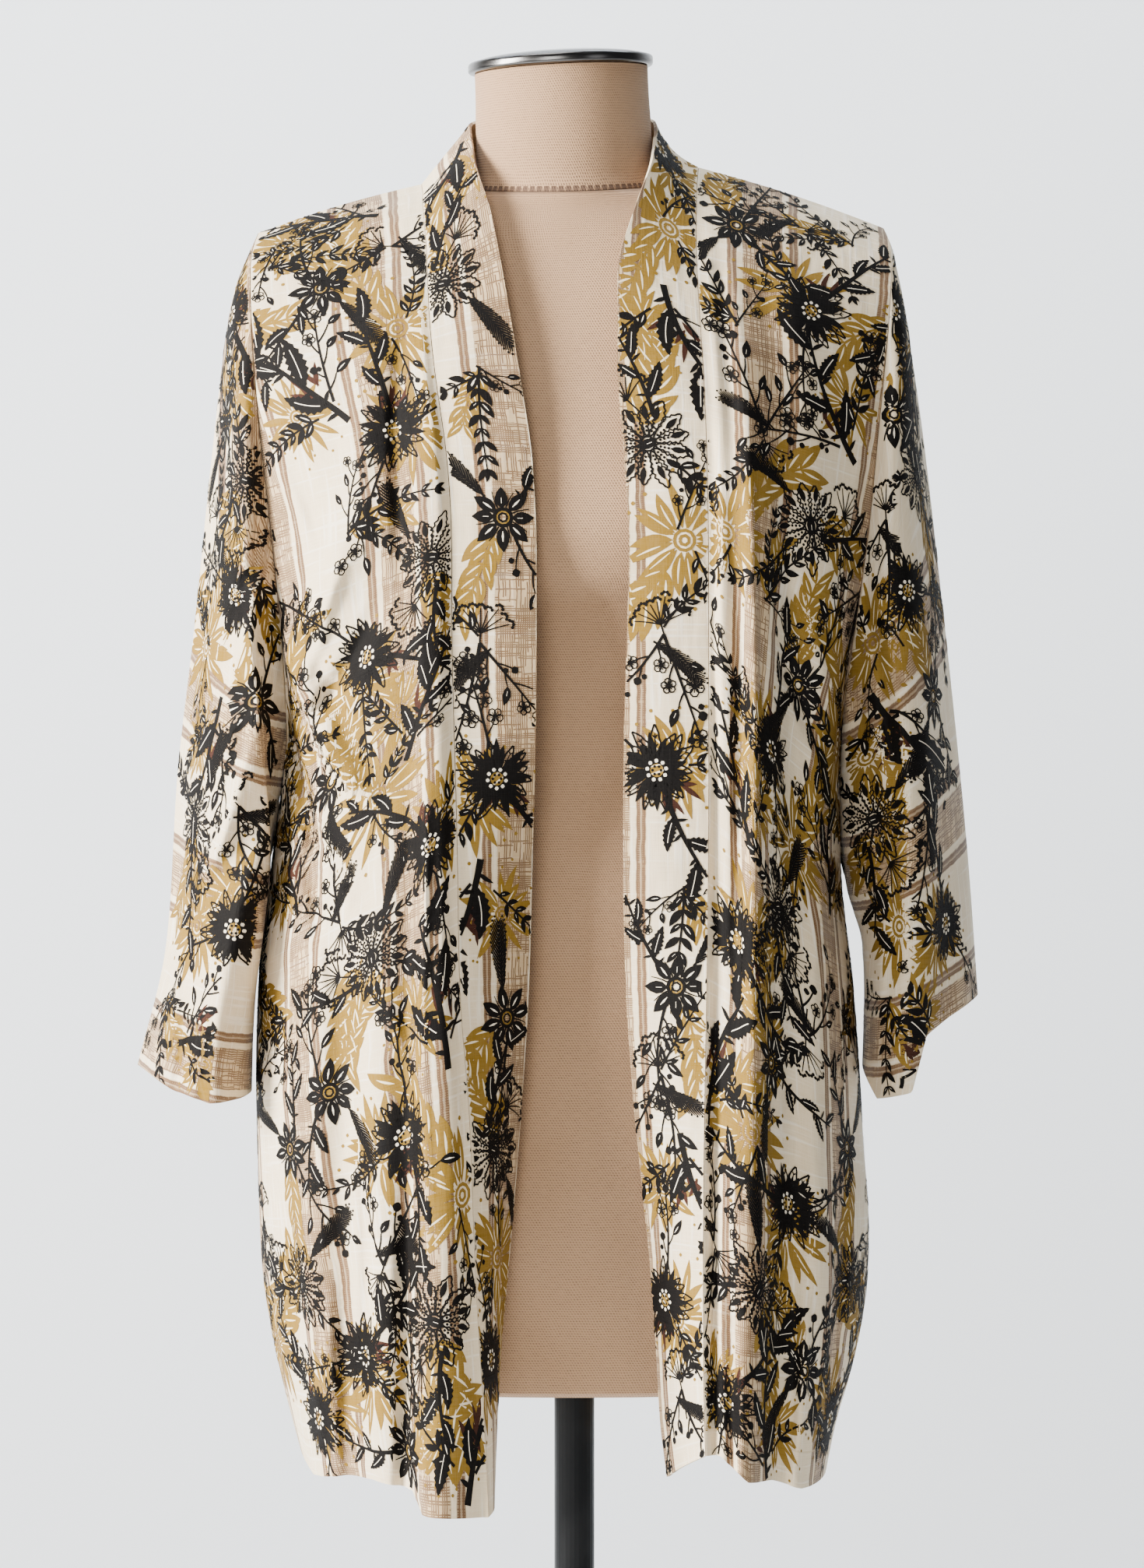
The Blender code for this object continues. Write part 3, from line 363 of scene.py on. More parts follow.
# Folds seen from one view: view, width left, width right, points (x, z, depth; a ridge is positive)
FOLDS = {
    "front_right": (
        ("front", 9, 26, ((-84, 1225, 0), (-83, 1180, 3), (-84, 1100, 5), (-86, 1010, 6), (-84, 920, 7),
                          (-82, 830, 9), (-81, 742, 12), (-80, 652, 15), (-80, 567, 17), (-82, 495, 18))),
        ("front", 14, 18, ((-112, 1120, 0), (-124, 1080, 6), (-143, 1030, 9), (-158, 985, 7),
                           (-161, 955, 3))),
        ("front", 14, 14, ((-157, 930, 2), (-141, 893, 6), (-128, 850, 5), (-122, 790, 2), (-121, 740, 0))),
        ("front", 15, 15, ((-158, 880, 0), (-153, 780, 5), (-150, 690, 6), (-150, 600, 5), (-146, 515, 5))),
        ("front", 12, 13, ((-124, 860, 0), (-132, 780, -5), (-134, 690, -7), (-131, 600, -8),
                           (-130, 515, -8))),
        ("front", 14, 12, ((-100, 930, 0), (-108, 830, 4), (-111, 720, 5), (-111, 620, 5), (-112, 515, 5))),
        ("front", 10, 12, ((-110, 1215, 0), (-116, 1180, 3), (-124, 1120, 3), (-130, 1090, 0))),
    ),
    "front_left": (
        ("front", 7, 8, ((78, 1000, 0), (81, 920, -7), (82, 800, -10), (81, 700, -10), (81, 600, -9),
                         (83, 525, -7))),
        ("front", 17, 15, ((88, 1235, 0), (97, 1150, 5), (103, 1080, 9), (106, 1000, 12), (106, 900, 13),
                           (104, 800, 14), (103, 700, 14), (101, 620, 13), (99, 560, 12), (97, 512, 11))),
        ("front", 12, 12, ((120, 1080, 0), (127, 1000, -6), (128, 880, -7), (125, 760, -7), (123, 650, -8),
                           (119, 570, -8), (116, 510, -7))),
        ("front", 12, 12, ((150, 960, 2), (145, 880, 6), (141, 780, 7), (143, 680, 8), (143, 600, 7),
                           (136, 510, 6))),
        ("front", 13, 15, ((126, 1120, 0), (140, 1050, 6), (152, 990, 7), (156, 955, 3))),
        ("front", 10, 10, ((118, 1235, 0), (128, 1180, 3), (139, 1110, 3), (146, 1070, 0))),
    ),
    "back": (
        ("back", 16, 18, ((-120, 1100, 0), (-118, 1000, 6), (-116, 880, 8), (-112, 740, 9), (-110, 620, 10),
                          (-106, 505, 10))),
        ("back", 15, 14, ((-84, 1060, 0), (-82, 930, -5), (-80, 780, -8), (-76, 640, -9), (-72, 505, -9))),
        ("back", 18, 16, ((-52, 1130, 0), (-48, 1000, 5), (-46, 850, 7), (-42, 700, 9), (-38, 505, 9))),
        ("back", 14, 16, ((-10, 1000, 0), (-8, 880, -5), (-5, 720, -8), (0, 505, -8))),
        ("back", 16, 18, ((34, 1120, 0), (36, 980, 5), (36, 840, 8), (34, 680, 9), (32, 505, 10))),
        ("back", 14, 14, ((66, 1040, 0), (68, 900, -6), (68, 740, -8), (66, 505, -9))),
        ("back", 18, 16, ((102, 1110, 0), (104, 980, 6), (102, 840, 8), (100, 680, 9), (98, 505, 9))),
        ("back", 14, 16, ((-114, 1130, 0), (-136, 1060, 6), (-154, 990, 6), (-160, 955, 2))),
        ("back", 16, 14, ((108, 1130, 0), (130, 1060, 6), (148, 990, 6), (155, 955, 2))),
        ("back", 11, 11, ((-160, 900, 0), (-158, 800, -5), (-160, 680, -7), (-156, 590, -6),
                          (-144, 510, -5))),
        ("back", 11, 11, ((138, 900, 0), (138, 800, -5), (146, 690, -7), (144, 590, -6), (132, 510, -5))),
    ),
    "sleeve_right": (
        ("front", 16, 18, ((-186, 1190, 0), (-192, 1130, 5), (-196, 1060, 7), (-205, 980, 8), (-214, 900, 5),
                           (-220, 850, 0))),
        ("front", 12, 14, ((-172, 1000, 0), (-184, 955, 6), (-200, 900, 7), (-214, 860, 4), (-226, 835, 0))),
        ("front", 11, 12, ((-176, 935, 0), (-190, 895, -6), (-206, 850, -6), (-222, 815, 0))),
        ("front", 12, 10, ((-190, 880, 0), (-200, 840, 5), (-208, 790, 7), (-207, 752, 6), (-203, 725, 4))),
        ("front", 9, 9, ((-196, 800, 0), (-199, 765, -7), (-197, 728, -8))),
        ("front", 10, 10, ((-232, 860, 0), (-238, 800, 4), (-244, 740, 4))),
        ("back", 16, 18, ((-188, 1180, 0), (-194, 1100, 6), (-202, 1010, 8), (-210, 910, 7), (-216, 820, 4),
                          (-220, 735, 3))),
        ("back", 12, 12, ((-176, 960, 0), (-190, 900, -6), (-202, 840, -6), (-210, 790, 0))),
    ),
    "sleeve_left": (
        ("front", 20, 24, ((193, 1195, 0), (195, 1150, 7), (196, 1080, 11), (196, 1000, 13), (195, 900, 13),
                           (193, 833, 12), (190, 789, 10), (186, 730, 9))),
        ("front", 10, 10, ((170, 1010, 0), (176, 960, -5), (182, 900, -6), (184, 850, 0))),
        ("front", 10, 12, ((214, 1020, 0), (217, 940, -5), (220, 860, -6), (219, 800, -6), (215, 770, -5))),
        ("back", 16, 18, ((184, 1180, 0), (190, 1100, 6), (196, 1010, 8), (202, 910, 7), (206, 820, 4),
                          (208, 760, 3))),
        ("back", 12, 12, ((168, 960, 0), (176, 900, -6), (186, 840, -6), (196, 790, 0))),
    ),
}
print("tables of", len(SEAM), "sides and", sum(map(len, FOLDS.values())), "folds")

# %% [markdown]
# ## From tables to cloth
# Each piece is worked out as a grid of points. A row of the front or back runs from the middle of
# the body to the side and turns like part of an oval. A sleeve is a loop of points at each place
# down the arm, and the neckband spans from its seam to its free edge. Folds are added last, as soft
# ridges and troughs that follow lines drawn on the cloth.

# %% Curves and folds
def curve(place, table):
    """Values at each place on the smooth curve through a table, whose first column is the place."""
    table = np.asarray(table, float)
    keys = table[:, 0]
    values = table[:, 1:]
    step = np.diff(keys)[:, None]
    slope = np.diff(values, axis=0) / step
    before = slope[:-1]
    after = slope[1:]
    same = before * after > 0
    weight_a = 2 * step[1:] + step[:-1]
    weight_b = step[1:] + 2 * step[:-1]
    safe_before = np.where(same, before, 1)
    safe_after = np.where(same, after, 1)
    mean = (weight_a + weight_b) / (weight_a / safe_before + weight_b / safe_after)
    tangent = np.vstack([slope[:1], np.where(same, mean, 0), slope[-1:]])
    place = np.asarray(place, float)
    row = np.clip(np.searchsorted(keys, place, side="right") - 1, 0, len(keys) - 2)
    width = step[row]
    t = np.clip((place[..., None] - keys[row][..., None]) / width, 0, 1)
    start = (1 + 2 * t) * (1 - t) ** 2 * values[row] + t * (1 - t) ** 2 * width * tangent[row]
    end = t * t * (3 - 2 * t) * values[row + 1] + t * t * (t - 1) * width * tangent[row + 1]
    return start + end


def smooth(t):
    """An even step from 0 to 1, flat at both ends."""
    t = np.clip(t, 0, 1)
    return t * t * (3 - 2 * t)


def unit(vectors):
    return vectors / np.maximum(np.linalg.norm(vectors, axis=-1, keepdims=True), 1e-9)


def fold_depth(x, z, folds, view):
    """Depth of all folds of one view at the given points."""
    total = np.zeros_like(x)
    for seen_from, wide_left, wide_right, points in folds:
        if seen_from != view:
            continue
        best = np.full(x.shape, 1e9)
        depth = np.zeros_like(x)
        side = np.zeros_like(x)
        for (x0, z0, d0), (x1, z1, d1) in zip(points[:-1], points[1:]):
            dx = x1 - x0
            dz = z1 - z0
            t = np.clip(((x - x0) * dx + (z - z0) * dz) / (dx * dx + dz * dz), 0, 1)
            away = np.hypot(x - x0 - t * dx, z - z0 - t * dz)
            nearer = away < best
            best = np.where(nearer, away, best)
            depth = np.where(nearer, d0 + (d1 - d0) * t, depth)
            side = np.where(nearer, (x - x0) * dz - (z - z0) * dx, side)
        going_down = points[-1][1] < points[0][1]
        on_left = side > 0 if going_down else side < 0
        wide = np.where(on_left, wide_left, wide_right)
        total += depth * np.clip(1 - (best / (FOLD_SPREAD * wide)) ** 2, 0, 1) ** 2
    return total


def outer_edge(side, face, v):
    """The side seam below the armpit (0.5), and the armhole above it."""
    below = curve(np.minimum(v, 0.5), SIDE[side])
    above = curve(np.maximum(v, 0.5), ARMHOLE[side, face])
    return np.where(v[..., None] <= 0.5, below, above)


def hem_shift(x, z, v, side, face):
    """How far the rows near the hem move up or down to meet its line."""
    wanted = np.interp(x, *np.array(HEM[side, face], float).T)
    return (wanted - z[:1]) * smooth(1 - v / HEM_BLEND)


def half_row(start, end, turn, u):
    """Points from the middle of the body to its side, on rows that turn like an oval."""
    across = turn * np.sin(u * math.pi / 2) + (1 - turn) * u
    back = turn * (1 - np.cos(u * math.pi / 2)) + (1 - turn) * u**1.6
    x = start[..., 0:1] + (end[..., 0:1] - start[..., 0:1]) * across
    y = start[..., 1:2] + (end[..., 1:2] - start[..., 1:2]) * back
    z = start[..., 2:3] + (end[..., 2:3] - start[..., 2:3]) * across
    return np.stack([x, y, z], axis=-1)


def front_grid(side, u, v):
    """One front: u runs from the band seam to the side, v from the hem to the shoulder."""
    u = np.asarray(u, float)
    v = np.asarray(v, float)
    grid = half_row(curve(v, SEAM[side]), outer_edge(side, "front", v), curve(v, TURN), u)
    x, y, z = np.moveaxis(grid, -1, 0)
    z += hem_shift(x[:1], z, v[:, None], side, "front")
    z += SHOULDER_LIFT * np.sin(math.pi * u) * smooth((v[:, None] - 0.9) / 0.1)
    fade = smooth(u / 0.05) * smooth((1 - u) / 0.12) * smooth((1 - v[:, None]) / 0.06)
    y -= fold_depth(x, z, FOLDS["front_" + side], "front") * fade
    return grid


def top_back_row(side, u):
    """Neckline from the centre back to the shoulder, then the shoulder seam."""
    corner = curve(np.array(1.0), SEAM[side])
    middle = curve(np.array(1.0), CENTRE_BACK)
    angle = np.clip(u / NECK_SHARE, 0, 1) * math.pi / 2
    neck = np.stack([
        middle[0] + (corner[0] - middle[0]) * np.sin(angle),
        corner[1] + (middle[1] - corner[1]) * np.cos(angle) ** 0.85,
        middle[2] + (corner[2] - middle[2]) * (1 - np.cos(angle)) ** 1.2,
    ], axis=-1)
    out = np.clip((u - NECK_SHARE) / (1 - NECK_SHARE), 0, 1)
    shoulder = front_grid(side, out, [1.0])[0]
    return np.where((u <= NECK_SHARE)[:, None], neck, shoulder)


def back_half(side, u, v):
    """Half of the back without its folds, from the centre to one side."""
    grid = half_row(curve(v, CENTRE_BACK), outer_edge(side, "back", v), curve(v, TURN), u)
    x, _, z = np.moveaxis(grid, -1, 0)
    z += hem_shift(x[:1], z, v[:, None], side, "back")
    top = smooth((v - 0.76) / 0.24)[:, None, None] ** 1.5
    return grid * (1 - top) + top_back_row(side, u)[None] * top


def back_grid(u, v):
    """The whole back: u runs from -1 at the wearer's right to 1 at the left."""
    right = back_half("right", np.abs(u), v)
    left = back_half("left", np.abs(u), v)
    grid = np.where((u < 0)[None, :, None], right, left)
    fade = smooth((1 - np.abs(u)) / 0.12) * smooth((1 - v[:, None]) / 0.1)
    x, y, z = np.moveaxis(grid, -1, 0)
    y += fold_depth(x, z, FOLDS["back"], "back") * fade
    return grid


def sleeve_grid(side, turns, s):
    """Sleeve loops: turns runs from 0 (armpit) up the front to 1 (shoulder) and down to 2."""
    in_front = turns <= 1
    v = np.where(in_front, 0.5 + 0.5 * turns, 1.5 - 0.5 * turns)
    front = curve(v, ARMHOLE[side, "front"])
    back = curve(v, ARMHOLE[side, "back"])
    armhole = np.where(in_front[:, None], front, back)
    first = curve(np.array([0.0]), SLEEVE[side])[0]
    height = np.clip(2 * (armhole[:, 2] - first[3]) / (first[1] - first[3]) - 1, -1, 1)
    angle_armhole = np.arccos(height)
    angle_even = math.pi * np.where(in_front, 1 - turns, turns - 1)
    sign = np.where(in_front, -1.0, 1.0)

    def section(row, angle):
        """One loop, from a row of the sleeve's table and the angle of each of its points."""
        outer_x, outer_z, inner_x, inner_z, front_y, back_y, lean = np.moveaxis(row[..., None], -2, 0)
        across = np.cos(angle)
        bulge = np.sin(angle)
        depth = np.where(in_front, -front_y, back_y)
        lean = lean * bulge * in_front * (1 if side == "right" else -1)
        x = (outer_x + inner_x) / 2 + (outer_x - inner_x) / 2 * across + lean
        z = (outer_z + inner_z) / 2 + (outer_z - inner_z) / 2 * across
        y = SLEEVE_CENTRE_Y + sign * (depth - SLEEVE_CENTRE_Y * sign) * bulge
        return np.stack([x, y, z], axis=-1)

    rows = curve(s, SLEEVE[side])
    even = smooth(s / 0.6)[:, None]
    angle = angle_armhole * (1 - even) + angle_even * even
    grid = section(rows, angle)
    start = section(first[None], angle_armhole[None])[0]
    grid += (armhole - start)[None] * (1 - smooth(s / 0.35))[:, None, None]
    cuff_place, cuff_front, cuff_back = np.array(CUFF[side], float).T
    across = np.cos(angle)
    column = np.where(in_front, np.interp(across, cuff_place, cuff_front), np.interp(across, cuff_place, cuff_back))
    x, y, z = np.moveaxis(grid, -1, 0)
    z += column * smooth((s[:, None] - 0.7) / 0.3)
    folds = FOLDS["sleeve_" + side]
    in_view = smooth(np.sin(angle) / 0.55) * smooth(s[:, None] / 0.08)
    y -= fold_depth(x, z, folds, "front") * in_view * in_front
    y += fold_depth(x, z, folds, "back") * in_view * ~in_front
    return grid


def band_grid(side, across, t, seam):
    """Neckband half: t runs from the centre back (0) past the shoulder (1) to the hem (2)."""
    free = curve(t, FREE_EDGE[side])
    grid = seam[:, None] + (free - seam)[:, None] * across[None, :, None]
    along = np.gradient(seam, axis=0)
    normal = unit(np.cross(free - seam, along))
    if side == "left":
        normal = -normal
    far = smooth(np.abs(t - 0.95) / 0.3)[:, None]
    bulge = (SHOULDER_BULGE[side] * (1 - far) + BAND_BULGE * far) * np.sin(math.pi * across)
    grid -= normal[:, None] * bulge[..., None]
    grid[0, :, 0] = NECK_CENTRE_X
    return grid


# %% [markdown]
# ## Small creases
# The long folds come with the cut above. Linen and viscose also keep short, soft creases where the
# cloth is pulled at the armpit or was folded in a drawer. They are listed one by one, each with its
# own length, depth and width, because an even noise would look like crumpled paper.

# %% Creases
# The columns are those of the folds
CREASES = {
    "front_right": (
        ("front", 3, 14, ((-176, 1012, 0), (-168, 990, 4.0), (-156, 960, 6.0), (-144, 934, 6.0),
                          (-130, 917, 4.0), (-112, 906, 0))),
        ("front", 7, 4, ((-178, 978, 0), (-170, 952, -3.6), (-160, 922, -5.6), (-152, 890, -4.6),
                         (-150, 850, -2.6), (-152, 800, 0))),
        ("front", 12, 8, ((-130, 1056, 0), (-142, 1030, 2.6), (-156, 1008, 3.0), (-170, 990, 0))),
        ("front", 4, 4, ((-88, 1004, 0), (-96, 990, 1.6), (-104, 976, 0))),
        ("front", 7, 4, ((-84, 930, 0), (-86, 860, 1.6), (-88, 780, 2.0), (-86, 690, 1.8), (-88, 600, 2.2),
                         (-87, 512, 2.0))),
        ("front", 5, 7, ((-170, 935, 0), (-150, 957, -2.4), (-128, 990, -2.0), (-108, 1030, 0))),
        ("front", 6, 6, ((-168, 905, 0), (-148, 880, -2.6), (-126, 858, -1.6), (-104, 842, 0))),
        ("front", 5, 6, ((-172, 885, 0), (-160, 852, 2.2), (-150, 815, 1.6), (-143, 780, 0))),
        ("front", 4, 5, ((-166, 960, 0), (-146, 1004, 1.8), (-132, 1048, 0))),
        ("front", 5, 5, ((-98, 1190, 0), (-103, 1130, -1.8), (-101, 1070, -1.6), (-98, 1010, 0))),
        ("front", 4, 5, ((-118, 740, 0), (-121, 690, -2.2), (-119, 630, -2.6), (-122, 560, -1.4),
                         (-120, 520, 0))),
        ("front", 5, 4, ((-96, 700, 0), (-98, 640, -2.2), (-97, 580, -2.6), (-99, 512, -2.4))),
        ("front", 5, 6, ((-168, 700, 0), (-166, 640, -2.0), (-160, 580, -2.2), (-152, 520, -1.0))),
        ("front", 4, 5, ((-140, 640, 0), (-142, 600, 1.6), (-140, 560, 1.8), (-138, 515, 1.2))),
        ("front", 6, 5, ((-108, 800, 0), (-100, 770, 1.5), (-90, 742, 0))),
        ("front", 5, 5, ((-176, 1110, 0), (-160, 1075, 1.7), (-147, 1034, 0))),
        ("front", 4, 4, ((-168, 835, 0), (-170, 780, -1.8), (-167, 730, 0))),
    ),
    "front_left": (
        ("front", 3, 6, ((82, 1150, 0), (84, 1060, 1.6), (84, 940, 2.2), (83, 800, 2.6), (83, 660, 2.4),
                         (84, 560, 2.0), (84, 520, 1.4))),
        ("front", 6, 3, ((100, 1140, 0), (102, 1060, 1.8), (104, 960, 2.4), (104, 850, 2.0), (103, 740, 1.0),
                         (103, 680, 0))),
        ("front", 4, 4, ((92, 1060, 0), (95, 980, -1.6), (94, 900, -2.0), (93, 800, -1.6), (92, 700, 0))),
        ("front", 4, 5, ((113, 930, 0), (114, 850, -2.0), (113, 760, -2.2), (112, 680, -1.6), (110, 600, 0))),
        ("front", 5, 6, ((154, 925, 0), (138, 948, -2.2), (122, 985, -1.6), (112, 1020, 0))),
        ("front", 6, 6, ((154, 900, 0), (142, 868, -2.2), (134, 828, -1.6), (131, 790, 0))),
        ("front", 4, 5, ((150, 960, 0), (137, 1004, 1.6), (128, 1046, 0))),
        ("front", 4, 4, ((130, 640, 0), (133, 600, 1.8), (131, 550, 2.0), (128, 512, 1.4))),
        ("front", 5, 5, ((156, 700, 0), (157, 650, -2.0), (152, 590, -2.2), (144, 520, 0))),
        ("front", 4, 4, ((88, 660, 0), (90, 610, -1.8), (90, 560, -2.2), (91, 522, -1.6))),
        ("front", 5, 6, ((84, 1235, 0), (86, 1190, -1.5), (90, 1130, -1.2), (92, 1080, 0))),
        ("front", 5, 5, ((172, 1110, 0), (156, 1072, 1.6), (146, 1030, 0))),
    ),
    "back": (
        ("back", 6, 7, ((-168, 925, 0), (-146, 950, -2.4), (-122, 990, -1.8), (-100, 1036, 0))),
        ("back", 6, 6, ((-170, 900, 0), (-150, 868, -2.4), (-130, 840, 0))),
        ("back", 6, 7, ((156, 925, 0), (134, 952, -2.4), (112, 994, -1.8), (92, 1040, 0))),
        ("back", 6, 6, ((158, 896, 0), (140, 862, -2.2), (122, 836, 0))),
        ("back", 5, 5, ((-98, 900, 0), (-97, 800, -2.0), (-94, 690, -2.4), (-90, 560, -2.0), (-88, 520, 0))),
        ("back", 5, 5, ((-62, 860, 0), (-60, 740, 1.8), (-57, 620, 2.2), (-56, 520, 1.8))),
        ("back", 5, 6, ((-26, 940, 0), (-25, 820, -1.8), (-22, 680, -2.2), (-20, 530, -1.8))),
        ("back", 6, 5, ((16, 900, 0), (18, 760, 1.8), (16, 640, 2.2), (16, 530, 1.6))),
        ("back", 5, 5, ((52, 880, 0), (51, 760, -2.0), (49, 620, -2.4), (48, 525, -1.6))),
        ("back", 5, 5, ((84, 900, 0), (86, 780, 1.8), (84, 650, 2.0), (82, 520, 1.6))),
        ("back", 5, 6, ((120, 820, 0), (120, 720, -2.0), (117, 610, -2.2), (114, 515, -1.6))),
        ("back", 8, 8, ((-40, 1240, 0), (-30, 1200, 1.8), (-12, 1160, 1.2), (10, 1130, 0))),
        ("back", 8, 8, ((40, 1244, 0), (28, 1206, -1.6), (8, 1170, 0))),
    ),
    "sleeve_right": (
        ("front", 5, 6, ((-178, 1075, 0), (-190, 1035, -2.2), (-204, 990, -2.0), (-216, 950, 0))),
        ("front", 5, 5, ((-182, 985, 0), (-196, 935, -2.4), (-210, 890, -1.8), (-222, 862, 0))),
        ("front", 5, 5, ((-190, 920, 0), (-206, 880, 2.0), (-224, 850, 0))),
        ("front", 4, 5, ((-232, 930, 0), (-234, 880, -1.8), (-238, 820, -2.0), (-244, 765, 0))),
        ("front", 4, 4, ((-214, 800, 0), (-218, 765, 1.8), (-222, 735, 1.4))),
        ("front", 5, 6, ((-196, 1180, 0), (-204, 1130, -1.6), (-212, 1070, 0))),
        ("front", 4, 4, ((-226, 820, 0), (-230, 780, -2.0), (-232, 742, -1.6))),
        ("back", 6, 6, ((-180, 1060, 0), (-196, 1000, -2.2), (-212, 930, 0))),
        ("back", 5, 5, ((-226, 900, 0), (-232, 830, 2.0), (-238, 760, 1.4))),
    ),
    "sleeve_left": (
        ("front", 5, 5, ((166, 1045, 0), (176, 1000, -2.4), (184, 950, -1.8), (188, 910, 0))),
        ("front", 5, 5, ((168, 985, 0), (177, 935, 2.2), (184, 885, 0))),
        ("front", 5, 5, ((170, 930, 0), (180, 880, -2.4), (186, 835, -1.8), (186, 800, 0))),
        ("front", 4, 5, ((206, 1120, 0), (208, 1060, -1.8), (210, 1000, 0))),
        ("front", 4, 4, ((180, 840, 0), (178, 800, 1.8), (176, 768, 1.2))),
        ("front", 4, 5, ((226, 930, 0), (228, 880, -1.8), (232, 830, 0))),
        ("front", 5, 6, ((190, 1225, 0), (196, 1180, 1.4), (201, 1130, 0))),
        ("back", 6, 6, ((170, 1060, 0), (184, 1000, -2.2), (200, 930, 0))),
        ("back", 5, 5, ((214, 900, 0), (220, 840, 2.0), (226, 790, 1.2))),
    ),
}
CREASE_GAIN = 2.5
SIDE_Y = 20.0


def crease(name, grid, fade):
    """Add the small creases of a piece, front ones towards -Y and back ones towards +Y."""
    x, y, z = np.moveaxis(grid, -1, 0)
    y -= CREASE_GAIN * fold_depth(x, z, CREASES[name], "front") * fade * (y < SIDE_Y)
    y += CREASE_GAIN * fold_depth(x, z, CREASES[name], "back") * fade * (y > SIDE_Y)
    return grid


def relax(grid, passes):
    """Even out a grid along its columns, so that no table row shows as a line across the cloth."""
    for _ in range(passes):
        grid[1:-1] = 0.5 * grid[1:-1] + 0.25 * (grid[:-2] + grid[2:])
    return grid


# %% [markdown]
# ## The form
# The form is a padded body covered in linen: a stack of rounded rings, wide at the shoulders and
# hips. Rings are used and not a sculpted surface, since each ring is one row of a size table. It is
# made before the cloth, because the cloth rests on it.

# %% Form rings
FINE_SIDES = 168
ROUND = np.linspace(0, 2 * math.pi, FINE_SIDES, endpoint=False)
RING_STEP = 9.0


def smooth_rings(ring_of, table, step):
    """Rings at even heights and at each row of a size table."""
    table = np.asarray(table, float)
    count = int((table[-1, 0] - table[0, 0]) / step)
    heights = np.unique(np.concatenate([np.linspace(table[0, 0], table[-1, 0], count), table[:, 0]]))
    return [ring_of((z, *row)) for z, row in zip(heights, curve(heights, table))]


def torso_ring(row):
    z, half, front, back, power = row
    across, deep = (np.sign(wave) * np.abs(wave) ** (2 / power) for wave in (np.cos(ROUND), np.sin(ROUND)))
    centre = NECK_CENTRE_X * smooth((z - 1050) / 200)
    x = centre + half * across
    y = np.where(deep < 0, -deep * front, deep * back)
    tilt = SHOULDER_TILT * smooth((z - 1100) / 130)
    slope = NECK_SEAM_SLOPE * smooth((z - 1240) / 28)
    return np.stack([x, y, z + tilt * (x - centre) + slope * y], axis=-1)


def neck_ring(row):
    z, radius_x, radius_y, slope_y, slope_x = row
    x = radius_x * np.cos(ROUND)
    y = radius_y * np.sin(ROUND)
    centre = NECK_CENTRE_X - NECK_LEAN * (z - 1290)
    return np.stack([centre + x, y, z + slope_y * y + slope_x * x], axis=-1)


def quad_faces(rows, columns, closed=False):
    """Faces between the points of a grid. A closed grid joins its last column to its first."""
    wide = columns if closed else columns - 1
    i, j = np.divmod(np.arange((rows - 1) * wide), wide)
    k = (j + 1) % columns
    return np.stack([i * columns + j, i * columns + k, (i + 1) * columns + k, (i + 1) * columns + j], axis=1)


def finished_piece(name, mesh, uv, crisp=None):
    """An object from a mesh, smooth but for edges sharper than crisp degrees, on the one body."""
    mesh.uv_layers.new(name="cloth").data.foreach_set("uv", uv.reshape(-1).astype(np.float32))
    mesh.polygons.foreach_set("use_smooth", [True] * len(mesh.polygons))
    mesh.update()
    if crisp:
        mesh.set_sharp_from_angle(angle=math.radians(crisp))
    piece = bpy.data.objects.new(name, mesh)
    bpy.context.collection.objects.link(piece)
    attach(piece, "root")
    return piece


def stacked_mesh(name, rings):
    """A closed body from rings, with a UV map in metres round and up it."""
    sides = len(rings[0])
    points = np.concatenate(rings) * MM
    walls = quad_faces(len(rings), sides, True)
    ends = [list(range(sides))[::-1], list(range(len(points) - sides, len(points)))]
    mesh = bpy.data.meshes.new(name)
    mesh.from_pydata(points.tolist(), [], walls.tolist() + ends)
    middle = rings[len(rings) // 2]
    girth = np.linalg.norm(np.diff(np.vstack([middle, middle[:1]]), axis=0), axis=1)
    around = np.concatenate([[0], np.cumsum(girth)]) * MM
    up = np.array([ring[:, 2].mean() for ring in rings]) * MM
    i, j = np.divmod(np.arange(len(walls)), sides)
    corners = [around[j], up[i], around[j + 1], up[i], around[j + 1], up[i + 1], around[j], up[i + 1]]
    uv = np.concatenate([np.stack(corners, axis=1).reshape(-1, 2), points[sum(ends, [])][:, :2]])
    return finished_piece(name, mesh, uv, 40)


NECK = (
    (1268.4, 57, 50, NECK_SEAM_SLOPE, SHOULDER_TILT),
    (1276, 53.5, 48.5, 0.07, 0.02),
    (1288, 52.2, 48.5, 0.03, 0.02),
    (1305, 52, 48.5, 0.0, 0.03),
    (1322, 51.4, 48.5, 0.0, 0.04),
    (1336.4, 51.3, 48.5, 0.0, math.tan(CAP_TILT)),
)
torso = stacked_mesh("torso_cover", smooth_rings(torso_ring, TORSO, RING_STEP))
neck = stacked_mesh("neck_cover", smooth_rings(neck_ring, NECK, 3.0))
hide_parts("form_torso")
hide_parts("form_neck")


def tree_of(pieces):
    """The pieces' surface in millimetres, for finding the nearest point on it."""
    points = []
    faces = []
    for piece in pieces:
        start = len(points)
        points.extend(v.co / MM for v in piece.data.vertices)
        faces.extend([start + i for i in p.vertices] for p in piece.data.polygons)
    return BVHTree.FromPolygons(points, faces)


form_surface = tree_of([torso, neck])
print("form cover:", len(torso.data.polygons), "and", len(neck.data.polygons), "faces")

# %% [markdown]
# ## Sewing the sheets together
# All pieces are worked out together, because neighbours share the points of their seam. The rows
# and columns are close enough to hold the small creases. The form's surface pushes out any point
# that would sink into it, as the real form holds the cloth out.

